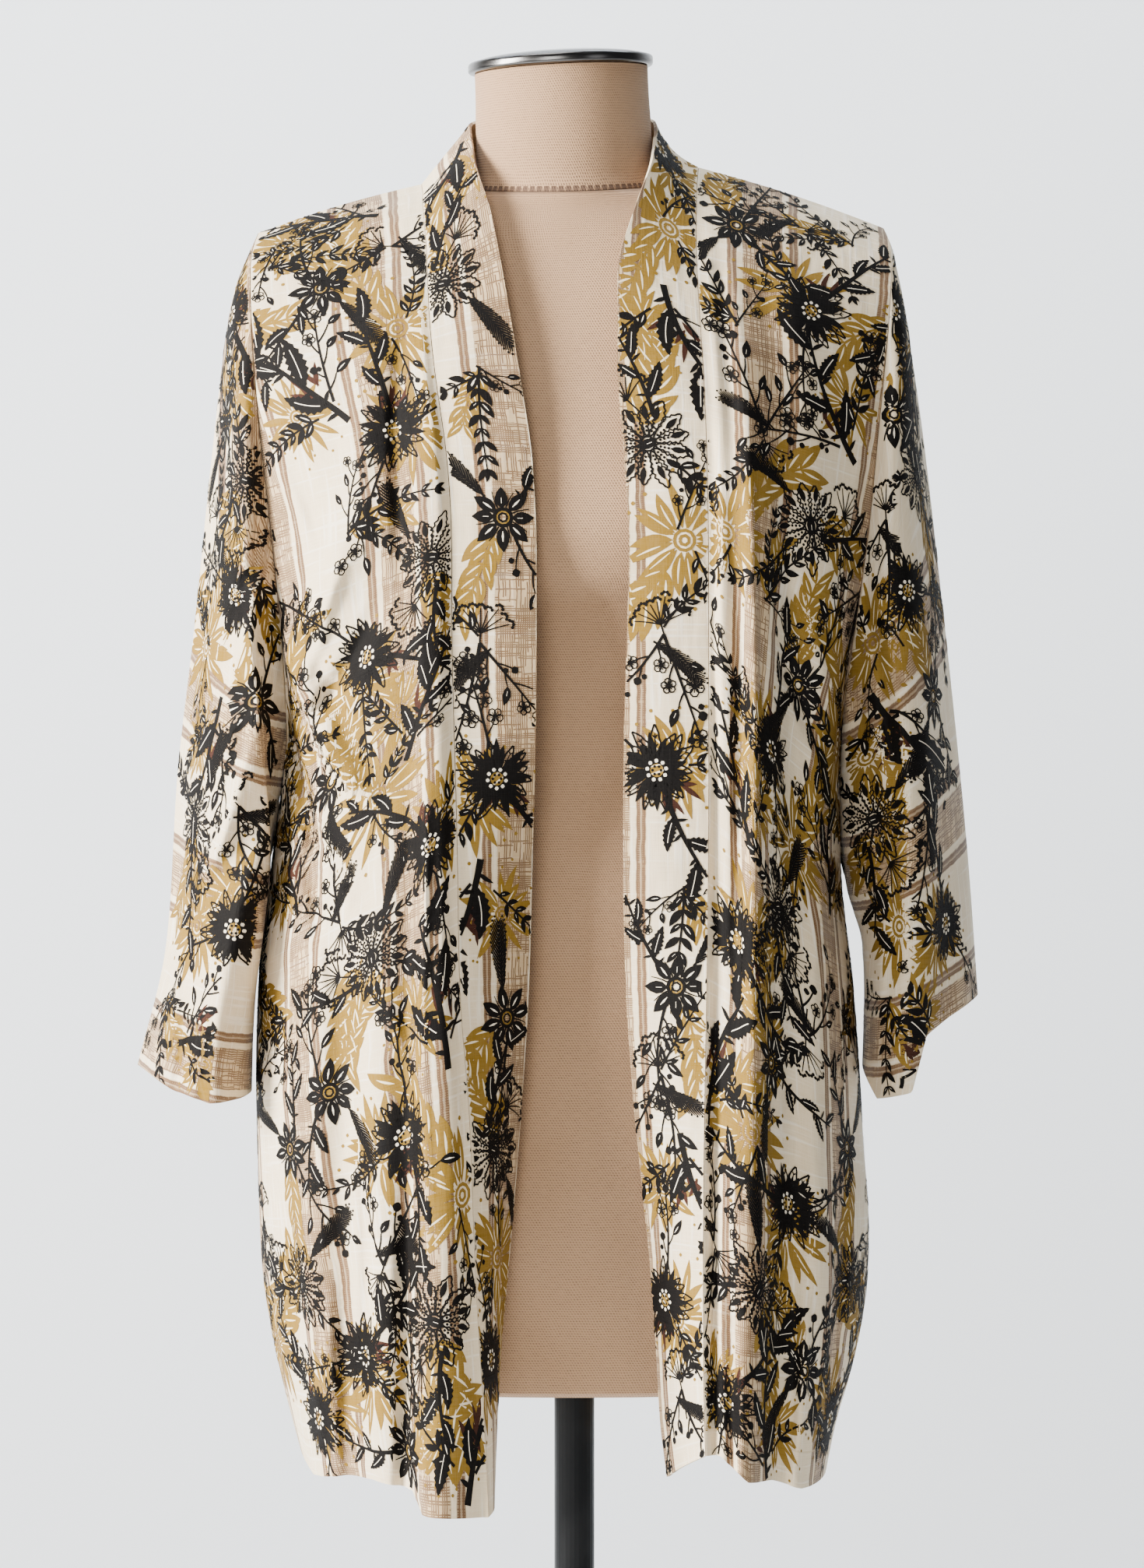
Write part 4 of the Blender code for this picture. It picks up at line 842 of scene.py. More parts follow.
# %% Grids of the pieces
BODY_ROWS_BELOW = 88
BODY_ROWS_ABOVE = 80
NECK_POINTS = 44
SHOULDER_POINTS = 40
FRONT_POINTS = 85
BAND_POINTS = 21
SLEEVE_POINTS = 105
BODY_PASSES = 24
SLEEVE_PASSES = 6
PUSH_REACH = 30.0


def needed_push(point, least):
    """What moves a point out until it is at least so far from the form."""
    near, normal, _, _ = form_surface.find_nearest(Vector(point), PUSH_REACH)
    if near is None:
        return np.zeros(3)
    height = (Vector(point) - near).dot(normal)
    return np.array(normal) * max(0.0, least - height)


def clear_of_form(grid, least):
    for _ in range(2):
        for place in np.ndindex(grid.shape[:2]):
            grid[place] += needed_push(grid[place], least)
    return grid


def normals_of(grid, away_from, closed=False):
    """Normals of a grid that point away from a place inside it."""
    if closed:
        wrapped = np.concatenate([grid[:, -1:], grid, grid[:, :1]], axis=1)
        across = wrapped[:, 2:] - wrapped[:, :-2]
    else:
        across = np.gradient(grid, axis=1)
    normal = unit(np.cross(across, np.gradient(grid, axis=0)))
    return normal if np.sum(normal * (grid - away_from)) > 0 else -normal


def share(first, second):
    """Give two runs of normals their mean."""
    first[...] = second[...] = unit(first + second)


def sew():
    """Grids of all pieces, in millimetres, with the points of each seam the same on both sides."""
    below = 0.5 * np.arange(BODY_ROWS_BELOW) / BODY_ROWS_BELOW
    above = 0.5 + 0.5 * np.arange(BODY_ROWS_ABOVE + 1) / BODY_ROWS_ABOVE
    v = np.concatenate([below, above])
    half = np.concatenate([
        NECK_SHARE * np.arange(NECK_POINTS) / NECK_POINTS,
        NECK_SHARE + (1 - NECK_SHARE) * np.arange(SHOULDER_POINTS + 1) / SHOULDER_POINTS,
    ])
    u_back = np.concatenate([-half[:0:-1], half])
    u_front = np.linspace(0, 1, FRONT_POINTS)
    turns = np.arange(2 * BODY_ROWS_ABOVE) / BODY_ROWS_ABOVE
    s = np.linspace(0, 1, SLEEVE_POINTS)
    t_band = np.concatenate([np.arange(NECK_POINTS) / NECK_POINTS, 2 - v[::-1]])
    across = np.linspace(0, 1, BAND_POINTS)
    fade_back = smooth((1 - np.abs(u_back)) / 0.06)[None] * smooth((1 - v) / 0.08)[:, None]
    back = crease("back", relax(back_grid(u_back, v), BODY_PASSES), fade_back)
    back = clear_of_form(back, WALL + FORM_CLEARANCE)
    grids = {"back": back}
    middle = NECK_POINTS + SHOULDER_POINTS
    shoulder = np.arange(SHOULDER_POINTS + 1) / SHOULDER_POINTS
    rows = BODY_ROWS_BELOW
    for side, step in (("right", -1), ("left", 1)):
        fade = (smooth(u_front / 0.05) * smooth((1 - u_front) / 0.06))[None] * smooth((1 - v) / 0.05)[:, None]
        front = crease("front_" + side, relax(front_grid(side, u_front, v), BODY_PASSES), fade)
        front = clear_of_form(front, WALL + FORM_CLEARANCE)
        edge = middle + step * middle
        columns = middle + step * np.arange(NECK_POINTS, middle + 1)
        for axis in range(3):
            back[-1, columns, axis] = np.interp(shoulder, u_front, front[-1, :, axis])
        back[:rows + 1, edge] = front[:rows + 1, -1]
        sleeve = relax(sleeve_grid(side, turns, s), SLEEVE_PASSES)
        around = np.minimum(turns, 2 - turns)
        crease("sleeve_" + side, sleeve, smooth(around / 0.12)[None] * smooth(s / 0.06)[:, None])
        sleeve[0, :BODY_ROWS_ABOVE + 1] = front[rows:, -1]
        sleeve[0, BODY_ROWS_ABOVE + 1:] = back[rows + 1:-1, edge][::-1]
        neckline = back[-1, middle:middle + step * NECK_POINTS:step]
        seam = np.concatenate([neckline, front[::-1, 0]])
        band = band_grid(side, across, t_band, seam)
        band[:, 1:] = clear_of_form(band[:, 1:].copy(), BAND_WALL + FORM_CLEARANCE)
        band[0, :, 0] = NECK_CENTRE_X
        grids["front_" + side] = front
        grids["sleeve_" + side] = sleeve
        grids["band_" + side] = band
    return grids


def seam_normals(grids):
    """Normals of all pieces, with those along a seam shared by the two pieces."""
    centre = np.array([NECK_CENTRE_X, 0, 0])
    normals = {}
    for name, grid in grids.items():
        if "sleeve" in name:
            normals[name] = normals_of(grid, grid.mean(axis=1, keepdims=True), True)
        else:
            normals[name] = normals_of(grid, centre + grid * (0, 0, 1))
    middle = NECK_POINTS + SHOULDER_POINTS
    rows = BODY_ROWS_BELOW
    back = normals["back"]
    for side, step in (("right", -1), ("left", 1)):
        front = normals["front_" + side]
        sleeve = normals["sleeve_" + side]
        band = normals["band_" + side]
        edge = middle + step * middle
        share(front[:rows + 1, -1], back[:rows + 1, edge])
        share(front[rows:, -1], sleeve[0, :BODY_ROWS_ABOVE + 1])
        rear = sleeve[0, BODY_ROWS_ABOVE + 1:]
        share(back[rows + 1:-1, edge], rear[::-1])
        share(front[:, 0], band[NECK_POINTS:, 0][::-1])
        share(back[-1, middle:middle + step * NECK_POINTS:step], band[:NECK_POINTS, 0])
        band[0, :, 0] = 0
    return normals


grids = sew()
normals = seam_normals(grids)
print({name: grid.shape[:2] for name, grid in grids.items()})

# %% [markdown]
# ## Cloth coordinates
# A stripe or a printed flower belongs to the flat cloth and not to the hanging shape. So each point
# also gets its place in the flat piece, in metres: how far along the piece its row lies, and how
# far along that row it is. These become the UV map, and the same two numbers place the print. An
# unwrap by Blender would work too, but its islands turn, and the stripes have to run with the warp.

# %% Places in the flat cloth
SLEEVE_CORNER = {"sleeve_right": (-1, -128.0, 1083.0), "sleeve_left": (1, 62.0, 1115.0)}


def flat_places(name, grid):
    """Along each row, and of each row, in metres."""
    step = np.linalg.norm(np.diff(grid, axis=1), axis=-1)
    along_row = np.concatenate([np.zeros((len(grid), 1)), np.cumsum(step, axis=1)], axis=1)
    column = grid.shape[1] // 3
    of_row = np.concatenate([[0], np.cumsum(np.linalg.norm(np.diff(grid[:, column], axis=0), axis=-1))])
    if name == "back":
        along_row -= along_row[:, grid.shape[1] // 2][:, None]
    if "sleeve" in name:
        along_row -= along_row[:, BODY_ROWS_ABOVE][:, None]
    return along_row * MM, of_row * MM


def stripe_distance(name, grid):
    """How far out from the body each point of a sleeve lies, round a corner near the armpit."""
    side, corner_x, corner_z = SLEEVE_CORNER[name]
    out = side * (grid[..., 0] - corner_x)
    down = np.maximum(corner_z - grid[..., 2], 0)
    return np.hypot(out, down) * MM


flat = {name: flat_places(name, grid) for name, grid in grids.items()}
for name, (along_row, of_row) in flat.items():
    print(f"{name}: {np.ptp(along_row, axis=1).mean():.3f} m across, {of_row[-1]:.3f} m long")

# %% [markdown]
# ## Cloth shells
# A single sheet of faces has no edge, and the real hem and cuff show one. So each piece is a thin
# shell: the outer points, the same points moved in by the cloth's thickness, and a rim between
# them. The inner faces get a material of their own, because the print is pale on the wrong side.

# %% Shells
def cloth_shell(name, grid, normal, wall, places, closed):
    """A thin shell of cloth: outer faces, inner faces and the rims at its edges."""
    rows, columns = grid.shape[:2]
    count = rows * columns
    shift = SLEEVE_SHIFT if closed else 0.0
    outer = grid + np.array([shift if "left" in name else -shift, 0, 0])
    outer = outer - normal * CLOTH_INSET
    points = np.concatenate([outer.reshape(-1, 3), (outer - normal * wall).reshape(-1, 3)]) * MM
    front = quad_faces(rows, columns, closed)
    a, b, d = outer.reshape(-1, 3)[front[0, [0, 1, 3]]]
    if np.dot(np.cross(b - a, d - a), normal.reshape(-1, 3)[front[0, 0]]) < 0:
        front = front[:, ::-1]
    round_row = np.arange(columns + closed) % columns
    edges = [round_row, (rows - 1) * columns + round_row]
    if not closed:
        edges += [np.arange(rows) * columns, np.arange(rows) * columns + columns - 1]
    rims = [np.stack([edge[:-1], edge[1:], edge[1:] + count, edge[:-1] + count], axis=1) for edge in edges]
    faces = np.concatenate([front, front[:, ::-1] + count] + rims)
    mesh = bpy.data.meshes.new(name)
    mesh.from_pydata(points.tolist(), [], faces.tolist())
    along_row, of_row = places
    across = along_row.ravel()
    if closed:
        flat_point = np.stack([stripe_distance(name[6:], grid).ravel(), across], axis=1)
    else:
        flat_point = np.stack([across, np.repeat(of_row, columns)], axis=1)
    corner = np.concatenate([flat_point, flat_point])[faces]
    if closed:
        # The last column's faces end past the row's last point, not back at its first.
        last = along_row[:, -1] + np.linalg.norm(outer[:, 0] - outer[:, -1], axis=1) * MM
        row, column = np.divmod(faces % count, columns)
        past_end = (column == 0) & (column == columns - 1).any(axis=1, keepdims=True)
        corner[..., 1] = np.where(past_end, last[row], corner[..., 1])
    reverse = np.zeros(len(faces), np.int32)
    reverse[len(front):2 * len(front)] = 1
    mesh.polygons.foreach_set("material_index", reverse)
    return finished_piece(name, mesh, corner, 60)


def draw_in(grid, take, closed):
    """Take a little off each sewn edge, which leaves the fine dark line of a seam."""
    moved = grid.copy()
    for edge, near in ((0, 1), (-1, -2)):
        for axis in ((0,) if closed else (0, 1)):
            start = np.take(grid, edge, axis=axis)
            step = np.take(grid, near, axis=axis) - start
            step *= take / np.maximum(np.linalg.norm(step, axis=-1, keepdims=True), 1e-9)
            if axis == 0:
                moved[edge] += step
            else:
                moved[:, edge] += step
    return moved


garment = {}
for name, grid in grids.items():
    closed = "sleeve" in name
    wall = BAND_WALL if "band" in name else WALL
    drawn = draw_in(grid, BAND_TAKE if "band" in name else SEAM_TAKE, closed)
    piece = cloth_shell("cloth_" + name, drawn, normals[name], wall, flat[name], closed)
    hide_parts(name)
    garment[name] = piece
    print(piece.name, len(piece.data.polygons), "faces")

# %% [markdown]
# ## Node helpers
# Every finish is made from nodes. Small helpers keep each recipe short: they add a node, do a sum,
# mix two colours, draw a ramp or noise, use a group, start a material and add a bump.

# %% Node helpers
def add(tree, kind, **values):
    node = tree.nodes.new(kind)
    for name, value in values.items():
        setattr(node, name, value)
    return node


def wire(tree, value, socket):
    """Link a socket, or set a plain value."""
    if isinstance(value, bpy.types.NodeSocket):
        tree.links.new(value, socket)
    else:
        socket.default_value = value


def sum_of(tree, operation, *values, clamp=False):
    node = add(tree, "ShaderNodeMath", operation=operation, use_clamp=clamp)
    for place, value in enumerate(values):
        wire(tree, value, node.inputs[place])
    return node.outputs[0]


def times(tree, first, second):
    return sum_of(tree, "MULTIPLY", first, second)


def blend(tree, portion, first, second):
    node = add(tree, "ShaderNodeMix", data_type="RGBA")
    wire(tree, portion, node.inputs["Factor"])
    wire(tree, first, node.inputs["A"])
    wire(tree, second, node.inputs["B"])
    return node.outputs["Result"]


def ramp(tree, value, stops):
    """Straight lines between stops of (place, value)."""
    node = add(tree, "ShaderNodeValToRGB")
    elements = node.color_ramp.elements
    elements[0].position, elements[1].position = stops[0][0], stops[-1][0]
    elements[0].color = (*[stops[0][1]] * 3, 1)
    elements[1].color = (*[stops[-1][1]] * 3, 1)
    for place, level in stops[1:-1]:
        elements.new(place).color = (level, level, level, 1)
    wire(tree, value, node.inputs["Fac"])
    return node.outputs["Color"]


def noise(tree, vector, scale, detail=2.0):
    """Noise of one scale, or of a scale for each axis."""
    if isinstance(scale, tuple):
        stretch = add(tree, "ShaderNodeMapping")
        wire(tree, vector, stretch.inputs["Vector"])
        stretch.inputs["Scale"].default_value = scale
        vector, scale = stretch.outputs["Vector"], 1.0
    node = add(tree, "ShaderNodeTexNoise")
    wire(tree, vector, node.inputs["Vector"])
    node.inputs["Scale"].default_value = scale
    node.inputs["Detail"].default_value = detail
    return node.outputs["Fac"]


def split_place(tree, place):
    node = add(tree, "ShaderNodeSeparateXYZ")
    wire(tree, place, node.inputs[0])
    return node.outputs["X"], node.outputs["Y"]


def cloth_place(tree):
    return add(tree, "ShaderNodeUVMap", uv_map="cloth").outputs["UV"]


def new_group(name, inputs, outputs):
    """A node group with the named input and output sockets."""
    tree = bpy.data.node_groups.new(name, "ShaderNodeTree")
    for title, kind, value in inputs:
        socket = tree.interface.new_socket(title, in_out="INPUT", socket_type=kind)
        if value is not None:
            socket.default_value = value
    for title, kind in outputs:
        tree.interface.new_socket(title, in_out="OUTPUT", socket_type=kind)
    return tree, tree.nodes.new("NodeGroupInput").outputs, tree.nodes.new("NodeGroupOutput").inputs


def use_group(tree, group, **values):
    """The outputs of a group, once its named inputs are set or linked."""
    node = add(tree, "ShaderNodeGroup", node_tree=group)
    for title, value in values.items():
        wire(tree, value, node.inputs[title.replace("_", " ")])
    return node.outputs


def new_material(name, roughness, metallic=0.0, **sockets):
    material = bpy.data.materials.new(name)
    material.use_nodes = True
    shader = material.node_tree.nodes["Principled BSDF"]
    shader.inputs["Roughness"].default_value = roughness
    shader.inputs["Metallic"].default_value = metallic
    for title, value in sockets.items():
        shader.inputs[title.replace("_", " ")].default_value = value
    return material, material.node_tree, shader


def bump(tree, shader, height, distance, strength=1.0, normal=None):
    node = add(tree, "ShaderNodeBump")
    node.inputs["Distance"].default_value = distance
    node.inputs["Strength"].default_value = strength
    wire(tree, height, node.inputs["Height"])
    if normal is not None:
        wire(tree, normal, node.inputs["Normal"])
    tree.links.new(node.outputs["Normal"], shader.inputs["Normal"])
    return node.outputs["Normal"]


# %% [markdown]
# ## The weave
# The cloth is a plain weave of slubbed thread: fine threads about half a millimetre apart, with a
# thicker one here and there. Long thin noise in two directions gives threads that start and stop,
# as slubs do. The print, the plain cloth and the wrong side all share it, so it is a node group.

# %% Weave group
weave, given, result = new_group(
    "slub_weave",
    [("Place", "NodeSocketVector", None), ("Slub", "NodeSocketFloat", 0.5)],
    [("Threads", "NodeSocketFloat"), ("Slubs", "NodeSocketFloat"), ("Height", "NodeSocketFloat")],
)
warp = noise(weave, given["Place"], (1700, 70, 1), 1.0)
weft = noise(weave, given["Place"], (60, 1500, 1), 1.0)
threads = times(weave, sum_of(weave, "ADD", warp, weft), 0.5)
THICK_FROM = ((0.60, 0), (0.74, 1))
slub_warp = ramp(weave, noise(weave, given["Place"], (420, 22, 1), 0.0), THICK_FROM)
slub_weft = ramp(weave, noise(weave, given["Place"], (20, 460, 1), 0.0), THICK_FROM)
slubs = times(weave, sum_of(weave, "MAXIMUM", slub_warp, slub_weft), given["Slub"])
weave.links.new(threads, result["Threads"])
weave.links.new(slubs, result["Slubs"])
weave.links.new(sum_of(weave, "ADD", threads, times(weave, slubs, 0.6)), result["Height"])
print("weave group with", len(weave.nodes), "nodes")

# %% [markdown]
# ## The woven stripes
# Brown stripes on a tan ground run along the warp in a repeat of about 94 mm: a narrow double line,
# a wide cross-hatched band with denser blocks, a narrow double line again, then plain cloth. The
# first cloth coordinate gives the place in the repeat. The hatching comes from one random number
# for each thread, which looks hand-drawn, where a wave would look printed by a machine.

# %% Stripe group
REPEAT = 0.094
LINES_PER_METRE = 780.0
LINE_SHARE = 0.62
DASHES_PER_METRE = 75.0
BLOCK = 0.036
# One narrow double line of the repeat, and where the two of them start
DOUBLE_LINE = (
    (0.000, 0.0), (0.005, 1.0), (0.025, 1.0), (0.029, 0.6), (0.036, 0.6), (0.040, 1.0), (0.060, 1.0), (0.065, 0.0),
)
NARROW_LINES = tuple((start + place, level) for start in (0.0, 0.4) for place, level in DOUBLE_LINE)
WIDE_BAND = ((0.100, 0.0), (0.106, 1.0), (0.358, 1.0), (0.364, 0.0))

stripes, given, result = new_group(
    "hatched_stripes",
    [("Place", "NodeSocketVector", None), ("Shift", "NodeSocketFloat", 0.0)],
    [("Brown", "NodeSocketFloat"), ("Tan", "NodeSocketFloat")],
)
place_x, place_y = split_place(stripes, given["Place"])
wobble = times(stripes, sum_of(stripes, "SUBTRACT", noise(stripes, given["Place"], 110), 0.5), 0.0018)
across = sum_of(stripes, "ADD", sum_of(stripes, "ADD", place_x, given["Shift"]), wobble)
down = sum_of(stripes, "ADD", place_y, wobble)
part = sum_of(stripes, "FRACT", sum_of(stripes, "DIVIDE", across, REPEAT))
narrow = ramp(stripes, part, NARROW_LINES)
wide = ramp(stripes, part, WIDE_BAND)


def drawn_lines(along, crossing, offset, drawn_share):
    """Hatching lines side by side. Each is broken into dashes, and drawn_share of them are drawn."""
    counted = times(stripes, along, LINES_PER_METRE)
    line = sum_of(stripes, "ADD", sum_of(stripes, "FLOOR", counted), offset)
    start = add(stripes, "ShaderNodeTexWhiteNoise", noise_dimensions="1D")
    wire(stripes, line, start.inputs["W"])
    dash = sum_of(stripes, "MULTIPLY_ADD", crossing, DASHES_PER_METRE, times(stripes, start.outputs["Value"], 9.0))
    pair = add(stripes, "ShaderNodeCombineXYZ")
    wire(stripes, line, pair.inputs["X"])
    wire(stripes, sum_of(stripes, "FLOOR", dash), pair.inputs["Y"])
    chance = add(stripes, "ShaderNodeTexWhiteNoise", noise_dimensions="2D")
    wire(stripes, pair.outputs[0], chance.inputs["Vector"])
    drawn = sum_of(stripes, "LESS_THAN", chance.outputs["Value"], drawn_share)
    return times(stripes, drawn, sum_of(stripes, "LESS_THAN", sum_of(stripes, "FRACT", counted), LINE_SHARE))


wave = sum_of(stripes, "SINE", times(stripes, down, 2 * math.pi / BLOCK))
blocks = ramp(stripes, sum_of(stripes, "MULTIPLY_ADD", wave, 0.5, 0.5), ((0.45, 0.0), (0.60, 1.0)))
lengthwise = drawn_lines(across, down, 31.0, 0.70)
crosswise = drawn_lines(down, across, 7.0, sum_of(stripes, "MULTIPLY_ADD", blocks, 0.55, 0.28))
hatch = sum_of(stripes, "MAXIMUM", lengthwise, crosswise)
patchy = ramp(stripes, noise(stripes, given["Place"], (60, 120, 1)), ((0.25, 0.80), (0.60, 1.0)))
tint = sum_of(stripes, "MULTIPLY_ADD", blocks, 0.10, 0.10)
hatch = times(stripes, hatch, times(stripes, patchy, 0.94))
wide_brown = times(stripes, wide, sum_of(stripes, "MAXIMUM", tint, hatch))
ladder = sum_of(stripes, "MAXIMUM", drawn_lines(down, across, 63.0, 0.92), drawn_lines(across, down, 84.0, 0.85))
narrow_brown = times(stripes, narrow, sum_of(stripes, "MULTIPLY_ADD", ladder, 0.26, 0.74))
wire(stripes, sum_of(stripes, "MAXIMUM", wide_brown, narrow_brown, clamp=True), result["Brown"])
wire(stripes, sum_of(stripes, "MAXIMUM", wide, narrow), result["Tan"])
print("stripe group with", len(stripes.nodes), "nodes")

# %% [markdown]
# ## Cloth finishes
# The printed side is cream, a little warmer where the threads are thick. Its roughness is high and a
# weak sheen lifts the edges, which is what viscose does. Each piece has its own shift of the
# stripes, since a cutter lays the pieces where they fit.

# %% Printed cloth
CREAM = (0.700, 0.575, 0.385, 1)
CREAM_SHADE = (0.540, 0.400, 0.225, 1)
STRIPE_BROWN = (0.080, 0.027, 0.0020, 1)
STRIPE_TAN = (0.480, 0.300, 0.125, 1)
SLUB_CREAM = (0.90, 0.87, 0.80, 1)
REVERSE = (0.42, 0.29, 0.165, 1)
HEM_FOLD = 0.020
HEM_STITCH_SHADE_HALF = 0.0005
WEAVE_DEPTH = 0.00022
STRIPE_SHIFT = {
    "front_right": -0.0150,
    "front_left": -0.0180,
    "band_right": -0.0150,
    "band_left": 0.0580,
    "back": 0.0220,
    "sleeve_right": 0.0550,
    "sleeve_left": 0.0300,
}


def cloth_material(name, shift, pale, hem):
    """pale 0 is the printed side and 1 the wrong side. hem is the place of the hem's stitch line, painted darker
    partly as thread and partly as painted shade of its groove.
    """
    material, tree, shader = new_material(name, 0.86, Sheen_Weight=0.12, Sheen_Roughness=0.5)
    place = cloth_place(tree)
    threads, slubs, height = use_group(tree, weave, Place=place, Slub=0.6)
    brown, tan = use_group(tree, stripes, Place=place, Shift=shift)
    tone = noise(tree, place, 14.0, 3.0)
    base = blend(tree, times(tree, tone, 0.30), CREAM, CREAM_SHADE)
    base = blend(tree, times(tree, ramp(tree, threads, ((0.36, 1), (0.52, 0))), 0.34), base, CREAM_SHADE)
    base = blend(tree, times(tree, slubs, 0.5), base, SLUB_CREAM)
    base = blend(tree, times(tree, tan, 0.62), base, STRIPE_TAN)
    base = blend(tree, times(tree, brown, 0.92 - 0.30 * pale), base, STRIPE_BROWN)
    if hem:
        # The hem's stitch line is a continuous darker band: partly thread colour, partly painted shade of the
        # stitched groove, which the bump also dents.
        sewn = sum_of(tree, "COMPARE", split_place(tree, place)[1], hem, HEM_STITCH_SHADE_HALF)
        base = blend(tree, times(tree, sewn, 0.55), base, CREAM_SHADE)
        height = sum_of(tree, "SUBTRACT", height, times(tree, sewn, 2.0))
    if pale:
        base = blend(tree, 0.55, base, REVERSE)
    tree.links.new(base, shader.inputs["Base Color"])
    tree.links.new(sum_of(tree, "MULTIPLY_ADD", threads, -0.12, 0.92), shader.inputs["Roughness"])
    ripples = noise(tree, place, (46, 20, 1), 2.0)
    first = bump(tree, shader, ripples, 0.0045, 0.55)
    bump(tree, shader, height, WEAVE_DEPTH, 0.75, first)
    return material


for name, piece in garment.items():
    hem = 0.0 if "sleeve" in name else HEM_FOLD
    for pale, ending in enumerate(("_print", "_reverse")):
        piece.data.materials.append(cloth_material(name + ending, STRIPE_SHIFT[name], pale, hem))
print("cloth finishes on", len(garment), "pieces")

# %% [markdown]
# ## Linen cover
# The form is covered in a coarse natural linen. Seen close, it is a grid of dark holes between pale
# threads, so two crossing waves make the grid and noise makes each thread uneven. The colour drifts
# between two near tones. A line of dark stitches joins the neck to the body, beside a continuous darker line of
# painted shade along the seam.

# %% Form cover
LINEN = (0.375, 0.222, 0.116, 1)
LINEN_LIGHT = (0.440, 0.268, 0.146, 1)
NECK_LINEN = (0.355, 0.208, 0.108, 1)
NECK_LINEN_LIGHT = (0.410, 0.245, 0.130, 1)
LINEN_DARK = (0.050, 0.022, 0.009, 1)
# Colour of the dark stitches and of the painted shade line along the neck seam
STITCH_AND_SEAM_SHADE = (0.055, 0.024, 0.012, 1)
LINEN_THREAD = 0.00145
NECK_SEAM = NECK[0][0] * MM
SEAM_SHADE_HALF = 0.0012
STITCH_HALF = 0.0011
STITCH_PERIOD = 0.0040


def grid_wave(tree, length, period):
    """A wave between 0 and 1 with a period in metres."""
    turn = times(tree, length, 2 * math.pi / period)
    return sum_of(tree, "MULTIPLY_ADD", sum_of(tree, "SINE", turn), 0.5, 0.5)


linen, given, result = new_group(
    "linen_grid",
    [("Place", "NodeSocketVector", None)],
    [("Holes", "NodeSocketFloat"), ("Height", "NodeSocketFloat")],
)
place_x, place_y = split_place(linen, given["Place"])
drift = times(linen, noise(linen, given["Place"], 60), 0.0016)
up = sum_of(linen, "ADD", place_y, drift)
side = sum_of(linen, "ADD", place_x, drift)
slanted = sum_of(linen, "ADD", side, times(linen, up, 0.5))
wave_up = grid_wave(linen, up, LINEN_THREAD)
wave_side = grid_wave(linen, slanted, LINEN_THREAD)
both = times(linen, wave_up, wave_side)
patch = noise(linen, given["Place"], (260, 900, 1), 2.0)
holes = times(linen, both, ramp(linen, patch, ((0.3, 0.35), (0.7, 1.0))))
wire(linen, holes, result["Holes"])
wire(linen, sum_of(linen, "SUBTRACT", times(linen, patch, 0.2), both), result["Height"])


def linen_material(name, base_colour, light_colour):
    material, tree, shader = new_material(name, 0.92, Sheen_Weight=0.10, Sheen_Roughness=0.6)
    place = cloth_place(tree)
    holes, height = use_group(tree, linen, Place=place)
    soft = noise(tree, place, 9.0, 3.0)
    base = blend(tree, ramp(tree, soft, ((0.35, 0), (0.7, 1))), base_colour, light_colour)
    base = blend(tree, times(tree, holes, 0.85), base, LINEN_DARK)
    around, up = split_place(tree, place)
    stitch_line = sum_of(tree, "COMPARE", up, NECK_SEAM + STITCH_HALF, STITCH_HALF)
    step = sum_of(tree, "FRACT", sum_of(tree, "DIVIDE", around, STITCH_PERIOD))
    stitches = times(tree, stitch_line, sum_of(tree, "GREATER_THAN", step, 0.32))
    # The continuous darker line along the neck seam is painted shade; the dashes above it are the dark stitches.
    seam = times(tree, sum_of(tree, "COMPARE", up, NECK_SEAM, SEAM_SHADE_HALF), 0.55)
    base = blend(tree, times(tree, sum_of(tree, "MAXIMUM", stitches, seam), 0.85), base, STITCH_AND_SEAM_SHADE)
    tree.links.new(base, shader.inputs["Base Color"])
    bump(tree, shader, height, 0.0004, 0.6)
    return material


torso.data.materials.append(linen_material("form_linen", LINEN, LINEN_LIGHT))
neck.data.materials.append(linen_material("neck_linen", NECK_LINEN, NECK_LINEN_LIGHT))
print("linen on", torso.name, "and", neck.name)

# %% [markdown]
# ## Metal
# The cap is a polished steel lid with a raised rim, which mirrors the studio in long streaks. The
# pole and base are painted black with a satin gloss. The cap's solid is faceted, so a turned lid
# with a soft rim replaces it. The pole and base are right as they are and only get their paint.

# %% Cap, pole and base
CAP_PROFILE = (
    (0.0, 52.6, 50.0), (0.15, 53.9, 51.3), (0.9, 54.7, 52.1), (1.8, 54.9, 52.3), (4.6, 54.9, 52.3),
    (5.6, 54.5, 51.9), (6.3, 53.6, 51.0), (6.6, 52.6, 50.0), (6.5, 51.6, 49.0), (7.2, 50.4, 47.9),
    (8.6, 44.0, 41.8), (9.8, 34.0, 32.3), (10.4, 20.0, 19.0), (10.6, 6.0, 5.7),
)
CAP_BOTTOM = 1336.8
CAP_CENTRE_X = NECK_CENTRE_X - NECK_LEAN * 55


def cap_ring(row):
    z, radius_x, radius_y = row
    x = radius_x * np.cos(ROUND)
    y = radius_y * np.sin(ROUND)
    return np.stack([CAP_CENTRE_X + x, y, CAP_BOTTOM + z + math.tan(CAP_TILT) * x], axis=-1)


cap = stacked_mesh("neck_lid", [cap_ring(row) for row in CAP_PROFILE])
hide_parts("neck_cap")

material, tree, shader = new_material("cap_steel", 0.2, 1.0, Anisotropic=0.5)
where = add(tree, "ShaderNodeTexCoord").outputs["Object"]
streaks = noise(tree, where, (30, 30, 900), 3.0)
smears = noise(tree, where, 40.0, 3.0)
steel = blend(tree, smears, (0.070, 0.067, 0.066, 1), (0.150, 0.145, 0.140, 1))
tree.links.new(steel, shader.inputs["Base Color"])
tree.links.new(sum_of(tree, "MULTIPLY_ADD", streaks, 0.28, 0.08), shader.inputs["Roughness"])
bump(tree, shader, streaks, 0.0002, 0.3)
cap.data.materials.append(material)

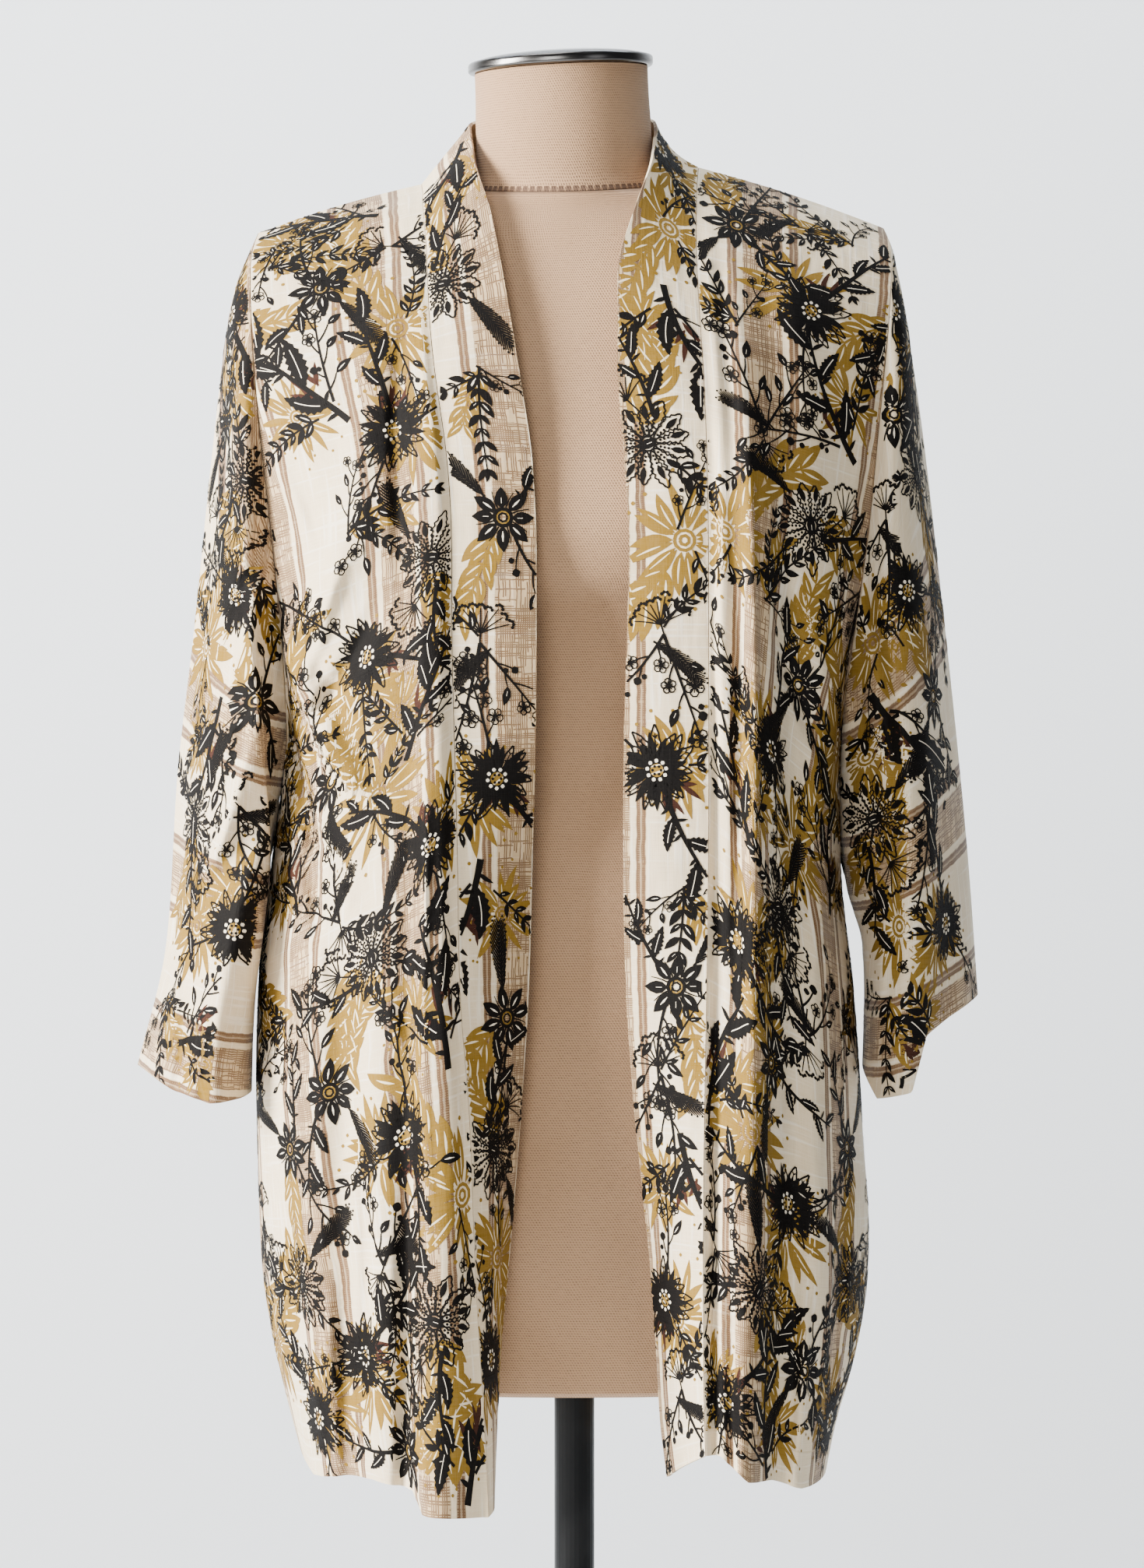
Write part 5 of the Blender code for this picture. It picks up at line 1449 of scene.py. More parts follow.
material, tree, shader = new_material(
    "satin_black_paint", 0.3, Coat_Weight=0.02, Coat_Roughness=0.2, Specular_IOR_Level=0.16)
where = add(tree, "ShaderNodeTexCoord").outputs["Object"]
dust = noise(tree, where, 26.0, 4.0)
peel = noise(tree, where, 900.0)
dusty = ramp(tree, dust, ((0.45, 0), (0.8, 1)))
paint = blend(tree, dusty, (0.003, 0.0035, 0.004, 1), (0.009, 0.0095, 0.010, 1))
tree.links.new(paint, shader.inputs["Base Color"])
tree.links.new(sum_of(tree, "MULTIPLY_ADD", dust, 0.3, 0.2), shader.inputs["Roughness"])
bump(tree, shader, peel, 0.0002, 0.15)
for node in ("pole", "base"):
    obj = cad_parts[node]
    obj.data.materials.clear()
    obj.data.materials.append(material)
    obj.data.polygons.foreach_set("use_smooth", [True] * len(obj.data.polygons))
    obj.data.set_sharp_from_angle(angle=math.radians(35))
print("metal finishes done")

# %% [markdown]
# ## Drawing with strips
# The print is black line drawing over an ochre shadow print. Ink has clean edges that a small
# noise texture can't give, so each brush stroke is a narrow strip of faces that lies on the cloth
# and bends with it. A strip is drawn flat, in millimetres, as points down its middle with a half
# width at each. Petals and leaves are the same thing with a fuller width.

# %% Strips
INK, OCHRE, RUST, WHITE, VEIN = 0, 1, 2, 3, 4
LIFT_MM = {OCHRE: 0.12, VEIN: 0.16, RUST: 0.21, INK: 0.28, WHITE: 0.36}
STRIP_STEP = 2.6
LONGEST_EDGE = 14.0
rng = np.random.default_rng(11)


def bend(start, angle, length, turn, count=None):
    """Points along an arc that leaves start at an angle and turns evenly, all angles in degrees."""
    count = count or max(3, int(length / STRIP_STEP) + 1)
    heading = np.radians(angle + turn * np.linspace(0, 1, count))
    step = np.stack([np.cos(heading), np.sin(heading)], axis=1) * length / (count - 1)
    middle = (step[:-1] + step[1:]) / 2
    return np.concatenate([[start], start + np.cumsum(middle, axis=0)])


def sideways(line):
    """The direction across a line, to its left, at each of its points."""
    along = unit(np.gradient(line, axis=0))
    return np.stack([-along[:, 1], along[:, 0]], axis=1)


def strip(line, half_width, colour, columns=1):
    """One strip: (points, quads, colour of each quad). half_width has one value for each point."""
    line = np.asarray(line, float)
    across = np.broadcast_to(half_width, len(line))[:, None] * np.linspace(-1, 1, columns + 1)
    points = line[:, None] + sideways(line)[:, None] * across[..., None]
    quads = quad_faces(len(line), columns + 1)
    return points.reshape(-1, 2), quads, np.full(len(quads), colour)


def joined(strips):
    """Many strips as one set of points, quads and colours."""
    points, quads, colours = zip(*strips)
    starts = np.cumsum([0] + [len(part) for part in points[:-1]])
    quads = [part + start for part, start in zip(quads, starts)]
    return np.concatenate(points), np.concatenate(quads), np.concatenate(colours)


def leaf_width(count, widest, peak=0.42):
    """Half widths of a leaf: nothing at both ends and widest at peak."""
    t = np.linspace(0, 1, count)
    t = np.where(t < peak, t / peak * 0.5, 0.5 + (t - peak) / (1 - peak) * 0.5)
    return np.maximum(widest * np.sin(math.pi * t) ** 0.85, 0.12)


def leaf(start, angle, length, widest, colour, turn=20.0, slit=False):
    line = bend(start, angle, length, turn, max(5, int(length / 2.4) + 1))
    parts = [strip(line, leaf_width(len(line), widest), colour, 2 if widest < 2.8 else 3)]
    if slit:
        inner = line[len(line) // 5:-len(line) // 4]
        slit_width = leaf_width(len(inner), max(0.28, widest * 0.16))
        parts.append(strip(inner, slit_width, VEIN if colour == OCHRE else WHITE))
    return parts


def outline_leaf(start, angle, length, widest, colour, turn, ribs):
    """A leaf drawn as two edges and a middle line, with short ribs."""
    line = bend(start, angle, length, turn, max(6, int(length / 2.3) + 1))
    width = leaf_width(len(line), widest)
    parts = []
    for sign in (-1, 1):
        wave = 1 + 0.10 * np.sin(np.arange(len(line)) * 2.4 + sign)
        parts.append(strip(line + sideways(line) * (sign * width * wave)[:, None], 0.46, colour))
    parts.append(strip(line[:-2], np.linspace(0.75, 0.2, len(line) - 2), colour))
    for k in range(ribs):
        place = int((k + 1.5) / (ribs + 2) * len(line))
        for sign in (-1, 1):
            rib = bend(line[place], angle + turn * 0.5 + sign * 38, width[place] * 0.8, 0, 2)
            parts.append(strip(rib, 0.36, colour))
    return parts


def dot(centre, radius, colour):
    line = np.stack([np.linspace(centre[0] - radius, centre[0] + radius, 5), np.full(5, centre[1])], axis=1)
    width = radius * np.array([0.15, 0.82, 1.0, 0.82, 0.15])
    return [strip(line, width, colour)]


def ring(centre, radius, half_width, colour):
    angle = np.linspace(0, 2 * math.pi, max(8, int(radius * 3)))
    line = centre + radius * np.stack([np.cos(angle), np.sin(angle)], axis=1)
    return [strip(line, half_width, colour)]


# %% [markdown]
# ## The motifs
# The flowers, leaves and twigs are ordinary ones, drawn by rule in this script and set out in a
# layout of its own. They keep the scale, weight and colours of such a print: a large flower every
# hand's breadth, joined by thorny twigs and berries. A rule with a little chance in it draws each
# one differently, so that no two on the jacket are alike.

# %% Flowers and leaves
MIDDLE = np.zeros(2)


def spot(angle, radius):
    return radius * np.array([math.cos(math.radians(angle)), math.sin(math.radians(angle))])


def stem_of(length, sway, count=None):
    """A stem that grows up from the middle with a chance bend, and its heading at each point."""
    stem = bend(MIDDLE, 90, length, rng.uniform(-sway, sway), count)
    return stem, np.degrees(np.arctan2(*np.gradient(stem, axis=0)[:, ::-1].T))


def daisy(size=24.0, petals=17):
    """Long outlined petals with dark gaps between them, round a dotted eye."""
    parts = []
    for k in range(petals):
        angle = 360 * k / petals + rng.uniform(-6, 6)
        length = size * rng.uniform(0.72, 1.0)
        turn = rng.uniform(-22, 22)
        width = size * rng.uniform(0.085, 0.12)
        parts += outline_leaf(spot(angle, 4.5), angle, length - 4.5, width, INK, turn, 2)
        gap = angle + 180 / petals
        parts += leaf(spot(gap, 3.6), gap, size * rng.uniform(0.50, 0.74), 2.1, INK, rng.uniform(-12, 12))
        if k % 2:
            parts += leaf(spot(angle, size * 0.32), angle, size * 0.36, 0.9, INK, turn)
    parts += ring(MIDDLE, 4.4, 0.9, INK)
    for k in range(9):
        parts += dot(spot(40 * k + 12, 4.9), 1.0, WHITE)
    for k in range(6):
        parts += dot(spot(60 * k, 2.2), 0.75, INK)
    return parts


def saw_daisy(size=26.0, petals=13):
    """Broad petals with saw edges, each with a dark seed and a row of dots."""
    parts = []
    for k in range(petals):
        angle = 360 * k / petals + rng.uniform(-4, 4)
        length = size * rng.uniform(0.78, 1.0)
        line = bend(spot(angle, 4.0), angle, length - 4, rng.uniform(-16, 16), 15)
        saw = leaf_width(15, size * 0.125, 0.55) * (1 + 0.34 * (np.arange(15) % 2))
        for sign in (-1, 1):
            parts.append(strip(line + sideways(line) * (sign * saw)[:, None], 0.50, INK))
        parts += leaf(spot(angle, size * 0.46), angle, size * 0.33, 1.7, INK, 8)
        for step in (0.26, 0.34, 0.42):
            parts += dot(spot(angle, size * step), 0.75, INK)
    parts += leaf(spot(200, 5.0), 20, 11, 2.7, INK, 0, True)
    parts += ring(MIDDLE, 3.8, 0.55, INK)
    return parts


def dark_flower(size=17.0, petals=8):
    """Solid petals with a light slit and a light round eye."""
    parts = []
    for k in range(petals):
        angle = 360 * k / petals + rng.uniform(-5, 5)
        length = size * rng.uniform(0.62, 0.8)
        parts += leaf(spot(angle, 4.2), angle, length, size * 0.19, INK, rng.uniform(-10, 10), True)
        tail = angle + 180 / petals
        hair = bend(spot(tail, 5), tail, size * 0.5, 20)
        parts.append(strip(hair, np.linspace(0.4, 0.2, len(hair)), INK))
    parts += ring(MIDDLE, 4.2, 0.9, INK)
    parts += ring(MIDDLE, 2.1, 0.5, INK)
    parts += ring(MIDDLE, 3.1, 0.45, OCHRE)
    return parts


def blossom(centre, size, angle):
    parts = []
    for k in range(5):
        turn = angle + 72 * k
        place = centre + spot(turn, size * 0.55)
        parts += ring(place, size * 0.42, 0.42, INK)
        parts.append(strip(bend(centre + spot(turn, size * 0.1), turn, size * 0.5, 0, 3), 0.28, INK))
    return parts + dot(centre, size * 0.22, INK)


def berry_twig(length=58.0):
    """A forked stem with small blossoms and round berries on short stalks."""
    stem, heading = stem_of(length, 38)
    parts = [strip(stem, np.linspace(1.0, 0.45, len(stem)), INK)]
    for k in range(3, len(stem), 3):
        sign = 1 if k % 2 else -1
        reach = rng.uniform(8, 16)
        angle = heading[k] + sign * rng.uniform(34, 58)
        stalk = bend(stem[k], angle, reach, -sign * 25)
        parts.append(strip(stalk, np.linspace(0.62, 0.38, len(stalk)), INK))
        end = stalk[-1]
        kind = rng.integers(0, 3)
        if kind == 0:
            parts += blossom(end, rng.uniform(4.2, 5.6), angle)
        elif kind == 1:
            parts += dot(end, rng.uniform(2.0, 2.8), INK)
            parts += dot(stalk[len(stalk) // 2] + spot(angle + 90, 3.0), 1.8, INK)
        else:
            parts += leaf(end, angle, rng.uniform(9, 14), 2.6, INK, 20, True)
    return parts + blossom(stem[-1], 5.4, heading[-1])


def leafy_twig(length=62.0):
    """Small dark leaves in pairs on a thin curved stem."""
    stem, heading = stem_of(length, 55)
    parts = [strip(stem, np.linspace(0.85, 0.4, len(stem)), INK)]
    for k in range(2, len(stem), 3):
        for sign in (-1, 1):
            if rng.random() < 0.12:
                continue
            size = rng.uniform(9.0, 15.0) * (1 - 0.35 * k / len(stem))
            angle = heading[k] + sign * rng.uniform(38, 62)
            parts += leaf(stem[k], angle, size, size * 0.20, INK, -sign * 22, k % 2 == 0)
    return parts + leaf(stem[-1], heading[-1], 8, 1.5, INK)


def thorn_branch(length=72.0):
    """A strong branch with thorns and long saw-edged leaves."""
    branch, heading = stem_of(length, 45, int(length / 2.2))
    parts = [strip(branch, np.linspace(1.9, 0.7, len(branch)), INK, 2)]
    for k in range(3, len(branch) - 1, 4):
        sign = 1 if (k // 4) % 2 else -1
        parts += leaf(branch[k], heading[k] + sign * 60, rng.uniform(6, 10), 1.2, INK, sign * 20)
    for k in range(6, len(branch), 7):
        sign = 1 if (k // 7) % 2 else -1
        angle = heading[k] + sign * rng.uniform(30, 50)
        size = rng.uniform(20, 32)
        line = bend(branch[k], angle, size, sign * rng.uniform(-45, 15), 17)
        width = leaf_width(17, size * 0.145) * (1 + 0.38 * (np.arange(17) % 2))
        parts.append(strip(line, width, INK, 3))
        parts.append(strip(line[3:-4], 0.24, WHITE))
    return parts


def feather(length=44.0):
    """A plume of fine barbs with a row of dots on each side."""
    spine, heading = stem_of(length, 30)
    parts = [strip(spine, np.linspace(0.8, 0.25, len(spine)), INK)]
    for k in range(1, len(spine)):
        reach = 0.30 * length * math.sin(math.pi * (k + 1) / (len(spine) + 1)) ** 0.7
        for sign in (-1, 1):
            barb = bend(spine[k], heading[k] + sign * 36, reach, -sign * 18)
            parts.append(strip(barb, np.linspace(0.78, 0.34, len(barb)), INK))
            if k % 2:
                parts += dot(barb[-1] + spot(heading[k], 1.8), 0.85, INK)
    return parts


def umbel(size=26.0):
    """Rays that spread from the top of a stem, each with four dots."""
    stem = bend(np.array([0.0, -size]), 90, size, 8)
    parts = [strip(stem, 0.55, INK)]
    for k in range(9):
        angle = 90 + (k - 4) * 17
        ray = bend(stem[-1], angle, size * rng.uniform(0.55, 0.75), (k - 4) * 3)
        parts.append(strip(ray, np.linspace(0.55, 0.34, len(ray)), INK))
        for tip in range(4):
            parts += dot(ray[-1] + spot(angle + (tip - 1.5) * 44, 2.6), 1.15, INK)
    return parts


def shadow_flower(size=30.0, petals=19):
    """An ochre flower with filled petals, drawn without outlines under the black ones."""
    parts = []
    for k in range(petals):
        angle = 360 * k / petals + rng.uniform(-8, 8)
        length = size * rng.uniform(0.7, 1.0)
        width = size * rng.uniform(0.065, 0.095)
        parts += leaf(spot(angle, 5.0), angle, length - 5, width, OCHRE, rng.uniform(-25, 25), k % 3 > 0)
        parts += dot(spot(angle, length + 2.5), 0.9, OCHRE)
    for radius in (2.0, 4.2):
        parts += ring(MIDDLE, radius, 0.7, OCHRE)
    return parts


def shadow_leaves(length=54.0):
    stem, heading = stem_of(length, 40)
    parts = [strip(stem, 0.7, OCHRE)]
    for k in range(2, len(stem), 3):
        for sign in (-1, 1):
            size = rng.uniform(15, 24)
            angle = heading[k] + sign * rng.uniform(35, 55)
            parts += leaf(stem[k], angle, size, size * 0.18, OCHRE, -sign * 25, True)
    return parts


def rust_touch(length=16.0):
    parts = []
    for k in range(5):
        start = rng.uniform(-5, 5, 2)
        angle = rng.uniform(40, 140)
        parts += leaf(start, angle, length * rng.uniform(0.5, 0.9), 1.3, RUST, rng.uniform(-30, 30))
    return parts


MOTIFS = {draw.__name__: draw for draw in (
    daisy, saw_daisy, dark_flower, berry_twig, leafy_twig, thorn_branch, feather, umbel, shadow_flower,
    shadow_leaves, rust_touch,
)}
print(len(MOTIFS), "motifs; a daisy has", len(joined(daisy())[1]), "faces")

# %% [markdown]
# ## Setting out the print
# The motifs grow in bunches: a large flower, its ochre shadow a little off it, a thorny branch, and
# berries or twigs that reach into the plain cloth. Each piece gets a table of bunches, placed
# across and along it in millimetres with a turn in degrees. The sides of the fronts and the hidden
# back follow the same rhythm by rule.

# %% Bunches
# Kinds of bunch: motif, x, y, turn, scale
BUNCH_KINDS = {
    "big": (("shadow_flower", -12, 10, 0, 1.25), ("daisy", 0, 0, 0, 1.12), ("thorn_branch", 10, 12, -40, 0.9),
            ("leafy_twig", -12, 14, 35, 0.9), ("rust_touch", 6, 10, 0, 1.2), ("berry_twig", -4, -18, 170, 0.9)),
    "saw": (("shadow_leaves", 6, -6, 150, 1.1), ("saw_daisy", 0, 0, 0, 1.12), ("feather", 14, 16, -35, 0.9),
            ("leafy_twig", -14, 10, 50, 0.95), ("thorn_branch", -4, -16, 195, 0.75), ("umbel", 10, -26, 220, 0.9)),
    "dark": (("shadow_leaves", -4, 6, 20, 1.0), ("dark_flower", 0, 0, 0, 1.2), ("berry_twig", 6, 10, -20, 1.0),
             ("feather", -10, -12, 140, 0.9), ("thorn_branch", 8, -8, 215, 0.7)),
    "leafy": (("leafy_twig", 0, 0, 0, 1.0), ("leafy_twig", 2, 4, 55, 0.8), ("berry_twig", -2, 0, -60, 0.7),
              ("shadow_leaves", 0, 0, 20, 0.7)),
    "branch": (("shadow_flower", 14, 8, 0, 1.0), ("thorn_branch", 0, -24, 10, 1.15),
               ("berry_twig", -6, -10, 45, 1.0), ("rust_touch", -6, 4, 0, 1.3), ("leafy_twig", 8, -6, -50, 0.9)),
    "berry": (("berry_twig", 0, 0, 20, 1.1), ("berry_twig", 0, 0, -30, 0.95), ("leafy_twig", 0, -4, 150, 0.9),
              ("umbel", 0, -6, 190, 0.9), ("feather", 6, 4, 60, 0.8)),
    "shadow": (("shadow_flower", 0, 0, 0, 1.4), ("shadow_leaves", 8, 12, -30, 1.15),
               ("leafy_twig", -6, 6, 25, 0.8), ("berry_twig", 4, -6, 160, 0.8)),
}

# Bunches of each piece: kind, place across, place along, turn
BUNCHES = {
    "front_right": (
        ("branch", 14, 30, 0), ("dark", 66, 22, 40), ("big", 100, 74, 90), ("saw", 30, 96, 0),
        ("berry", 74, 128, 10), ("shadow", 8, 160, 0), ("big", 52, 196, 200), ("dark", 104, 232, 0),
        ("branch", 18, 250, -10), ("saw", 66, 300, 60), ("big", 20, 346, 0), ("berry", 92, 330, -30),
        ("shadow", 60, 392, 0), ("dark", 104, 424, 30), ("branch", 30, 428, 20), ("big", 62, 486, 150),
        ("saw", 14, 528, 0), ("leafy", 70, 560, 60), ("big", 34, 612, 40), ("branch", 78, 640, -50),
        ("shadow", 20, 676, 0), ("dark", 64, 716, 0), ("berry", 20, 738, 90),
        ("shadow", 84, 766, 40), ("branch", 50, 776, -70), ("leafy", 96, 742, 80),
    ),
    "front_left": (
        ("big", 20, 40, 0), ("branch", 60, 20, 10), ("dark", 94, 66, 0), ("saw", 44, 110, 40),
        ("berry", 10, 130, 20), ("big", 80, 160, 120), ("shadow", 38, 196, 0), ("branch", 8, 214, -15),
        ("dark", 62, 238, 20), ("berry", 96, 262, -20), ("big", 24, 296, 260), ("saw", 74, 330, 0),
        ("shadow", 100, 372, 0), ("branch", 34, 372, 15), ("big", 64, 420, 30), ("berry", 14, 446, 60),
        ("dark", 96, 470, 0), ("leafy", 46, 506, -40), ("shadow", 12, 536, 0), ("saw", 76, 560, 90),
        ("branch", 92, 622, 40), ("berry", 38, 604, 0), ("big", 70, 690, 0), ("leafy", 24, 668, 30),
        ("berry", 62, 756, 70), ("dark", 24, 742, 0), ("leafy", 96, 752, 60),
    ),
    "band_right": (
        ("big", 20, 60, 0), ("branch", 30, 150, 20), ("saw", 10, 230, 0), ("leafy", 26, 290, 10),
        ("dark", 30, 380, 0), ("berry", 16, 452, -10), ("big", 24, 530, 0), ("branch", 14, 600, 0),
        ("dark", 32, 668, 30), ("saw", 20, 744, 0), ("shadow", 26, 806, 0), ("big", 16, 864, 0),
    ),
    "band_left": (
        ("dark", 16, 50, 0), ("big", 30, 134, 0), ("shadow", 18, 196, 0), ("branch", 22, 262, 0),
        ("saw", 34, 336, 0), ("shadow", 14, 392, 0), ("berry", 26, 446, 0), ("big", 30, 524, 60),
        ("leafy", 14, 590, 0), ("dark", 18, 648, 0), ("berry", 28, 700, 0), ("branch", 16, 756, 0),
        ("big", 34, 830, 0), ("berry", 20, 880, 0),
    ),
}
# Bunches of either face of a sleeve: kind, share of its width, share of its height, turn
SLEEVE_BUNCHES = (
    ("big", 0.30, 0.10, 20), ("branch", 0.72, 0.16, 150), ("dark", 0.30, 0.22, 0), ("saw", 0.70, 0.29, 40),
    ("berry", 0.24, 0.34, 170), ("big", 0.52, 0.42, 100), ("leafy", 0.84, 0.40, 200), ("shadow", 0.20, 0.48, 0),
    ("dark", 0.76, 0.54, 0), ("branch", 0.34, 0.58, 200), ("saw", 0.24, 0.68, 0), ("berry", 0.66, 0.66, 150),
    ("big", 0.72, 0.80, 60), ("shadow", 0.34, 0.80, 30), ("leafy", 0.18, 0.88, 160), ("branch", 0.52, 0.93, 80),
)


LEVEL_HALF = 12.0
REAR_TURN = 40


def sleeve_bunches(name, face):
    """Bunches of the sleeve's front (face -1) or rear (face 1), placed by their x and z."""
    grid = grids[name]
    rows = []
    for kind, across, down, turn in SLEEVE_BUNCHES:
        z = grid[..., 2].max() * (1 - down) + grid[..., 2].min() * down
        level = grid[np.abs(grid[..., 2] - z) < LEVEL_HALF][:, 0]
        x = level.min() * (1 - across) + level.max() * across
        turn += REAR_TURN if face > 0 else 0
        rows.append((kind, x, z, turn if "left" in name else -turn, face))
    return rows


for name in ("sleeve_right", "sleeve_left"):
    BUNCHES[name] = sleeve_bunches(name, -1) + sleeve_bunches(name, 1)
FILL_ORDER = ("big", "branch", "saw", "shadow", "dark", "berry", "leafy")
for name in ("front_right", "front_left"):
    BUNCHES[name] += tuple(
        (FILL_ORDER[(2 * i + 3 * j) % 7], 148 + 58 * j, 34 + 84 * i + 40 * j, 83 * (i + j) % 360)
        for i in range(9) for j in range(2)
    )
BUNCHES["back"] = tuple(
    (FILL_ORDER[(3 * i + 2 * j) % 7], -220 + 70 * j + 35 * (i % 2), 30 + 79 * i, 47 * (i + j) % 360)
    for i in range(9) for j in range(7)
)


def turned(points, angle, scale):
    """Flat points turned by degrees and scaled round the middle."""
    c = math.cos(math.radians(angle)) * scale
    s = math.sin(math.radians(angle)) * scale
    return points @ np.array([[c, s], [-s, c]])


def drawn_bunch(kind, turn):
    """One bunch as points, quads and colours, in flat millimetres round its own middle."""
    strips = []
    for motif, x, y, more_turn, scale in BUNCH_KINDS[kind]:
        points, quads, colours = joined(MOTIFS[motif]())
        offset = turned(np.array([[x, y]], float), turn, 1.0)
        strips.append((turned(points, turn + more_turn, scale) + offset, quads, colours))
    return joined(strips)


# %% [markdown]
# ## Laying the print on the cloth
# A flat point is found on the hanging cloth through the cloth coordinates: first the row it lies
# on, then its place along that row, then a hair's breadth out along the cloth's normal. What falls
# outside a piece is cut off at the seam, just as the cutter's shears do.

# %% Places on the cloth
# More metres than any piece is wide, so that the rows' keys don't overlap
ROW_SPAN = 10.0
# Where a sleeve's print is shot from, how far it may fall, and how squarely it has to land
SHOOT_FROM = 26.0
SHOOT_DEPTH = 2.4 * SHOOT_FROM
LEAST_FACING = 0.25
FAR_OUT = 400.0


def on_cloth(name, across, along):
    """Points and normals of the cloth at flat places in metres, and which of them lie on it."""
    along_row, of_row = flat[name]
    grid = grids[name]
    normal = normals[name]
    rows, columns = along_row.shape
    row = np.clip(np.searchsorted(of_row, along, side="right") - 1, 0, rows - 2)
    past = (along - of_row[row]) / (of_row[row + 1] - of_row[row])
    inside = (along > of_row[0]) & (along < of_row[-1])
    keys = (along_row + ROW_SPAN * np.arange(rows)[:, None]).ravel()
    place = np.zeros((len(across), 3))
    out = np.zeros((len(across), 3))
    for at, weight in ((row, 1 - past), (row + 1, past)):
        found = np.searchsorted(keys, across + ROW_SPAN * at, side="right") - 1 - at * columns
        inside &= (found >= 0) & (found < columns - 1)
        found = np.clip(found, 0, columns - 2)
        low = along_row[at, found]
        mix = ((across - low) / np.maximum(along_row[at, found + 1] - low, 1e-9))[:, None]
        place += weight[:, None] * (grid[at, found] * (1 - mix) + grid[at, found + 1] * mix)
        out += weight[:, None] * (normal[at, found] * (1 - mix) + normal[at, found + 1] * mix)
    return place, unit(out), inside


def shot_onto(points, middle, surface):
    """Points shot onto a sleeve, straight in along the normal at the bunch's middle.

    A hanging sleeve is no longer like its flat cut, so a flat place would squeeze a flower.
    """
    x, z, face = middle
    place, normal, _, _ = surface.ray_cast(Vector((x, face * FAR_OUT, z)), Vector((0, -face, 0)))
    solid = np.zeros((len(points), 3))
    out = np.zeros((len(points), 3))
    inside = np.zeros(len(points), bool)
    if place is None:
        return solid, out, inside
    normal = (normal if normal.y * face > 0 else -normal).normalized()
    up = Vector((0, 0, 1)) - normal * normal.z
    up.normalize()
    right = up.cross(normal)
    for k, (px, py) in enumerate(points):
        source = place + right * float(px) + up * float(py) + normal * SHOOT_FROM
        hit, hit_normal, _, _ = surface.ray_cast(source, -normal, SHOOT_DEPTH)
        if hit is not None and abs(hit_normal.dot(normal)) > LEAST_FACING:
            solid[k] = hit
            out[k] = hit_normal if hit_normal.dot(normal) > 0 else -hit_normal
            inside[k] = True
    return solid, out, inside


def outer_surface(name):
    """The outer face of a sleeve, for shooting at."""
    grid = grids[name]
    return BVHTree.FromPolygons(grid.reshape(-1, 3).tolist(), quad_faces(*grid.shape[:2], True).tolist())


# %% Inks
INK_ROUGHNESS = 0.8


def ink_material(name, colour, thin):
    """Printed ink: the weave shows through where it is thin."""
    material, tree, shader = new_material(name, INK_ROUGHNESS, Specular_IOR_Level=0.08)
    place = cloth_place(tree)
    threads, _, height = use_group(tree, weave, Place=place, Slub=0.6)
    worn = times(tree, ramp(tree, threads, ((0.42, 1), (0.60, 0))), thin)
    faded = times(tree, noise(tree, place, 60.0, 3.0), thin)
    base = blend(tree, sum_of(tree, "ADD", worn, faded, clamp=True), colour, CREAM)
    tree.links.new(base, shader.inputs["Base Color"])
    tree.links.new(sum_of(tree, "MULTIPLY_ADD", threads, -0.15, INK_ROUGHNESS), shader.inputs["Roughness"])
    bump(tree, shader, height, WEAVE_DEPTH, 0.75)
    return material


# In the order of INK, OCHRE, RUST, WHITE and VEIN
INKS = (
    ink_material("black_ink", (0.0020, 0.0016, 0.0018, 1), 0.003),
    ink_material("ochre_ink", (0.180, 0.098, 0.0040, 1), 0.04),
    ink_material("rust_ink", (0.026, 0.0055, 0.003, 1), 0.012),
    ink_material("bare_cloth", (0.760, 0.690, 0.560, 1), 0.2),
    ink_material("bare_cloth_vein", (0.700, 0.590, 0.400, 1), 0.2),
)


# %% Print pieces
def laid_bunches(name):
    """All motifs of a piece: flat points, places, normals, which lie on it, quads, colours."""
    laid = []
    count = 0
    surface = outer_surface(name) if "sleeve" in name else None
    for row in BUNCHES[name]:
        if surface:
            kind, x, z, turn, face = row
            points, quads, colours = drawn_bunch(kind, turn)
            place, out, inside = shot_onto(points, (x, z, face), surface)
            points = points + (x, z)
        else:
            kind, across, along, turn = row
            points, quads, colours = drawn_bunch(kind, turn)
            points = points + (across, along)
            place, out, inside = on_cloth(name, points[:, 0] * MM, points[:, 1] * MM)
        laid.append((points, place, out, inside, quads + count, colours))
        count += len(points)
    return [np.concatenate(column) for column in zip(*laid)]


def print_on(name):
    """The print of one piece: what lies on its cloth, lifted by colour, as one mesh."""
    points, place, out, inside, quads, colours = laid_bunches(name)
    keep = inside[quads].all(axis=1)
    edge = np.linalg.norm(place[quads] - place[np.roll(quads, 1, axis=1)], axis=-1).max(axis=1)
    keep &= edge < LONGEST_EDGE
    quads = quads[keep]
    colours = colours[keep]
    lift = np.zeros(len(points))
    for colour, height in LIFT_MM.items():
        lift[quads[colours == colour].ravel()] = height
    shift = SLEEVE_SHIFT * (1 if "left" in name else -1) if "sleeve" in name else 0.0
    solid = (place + out * lift[:, None] + (shift, 0, 0)) * MM
    used, quads = np.unique(quads, return_inverse=True)
    quads = quads.reshape(-1, 4)
    solid = solid[used]
    normal = out[used]
    a, b, d = solid[quads[:, 0]], solid[quads[:, 1]], solid[quads[:, 3]]
    wrong = np.einsum("ij,ij->i", np.cross(b - a, d - a), normal[quads[:, 0]]) < 0
    quads[wrong] = quads[wrong][:, ::-1]
    mesh = bpy.data.meshes.new("print_" + name)
    mesh.from_pydata(solid.tolist(), [], quads.tolist())
    mesh.polygons.foreach_set("material_index", colours.astype(np.int32))
    for ink in INKS:
        mesh.materials.append(ink)
    piece = finished_piece("print_" + name, mesh, (points[used] * MM)[quads])
    mesh.normals_split_custom_set_from_vertices(normal.tolist())
    return piece


prints = {name: print_on(name) for name in grids}
print({name: len(piece.data.polygons) for name, piece in prints.items()})

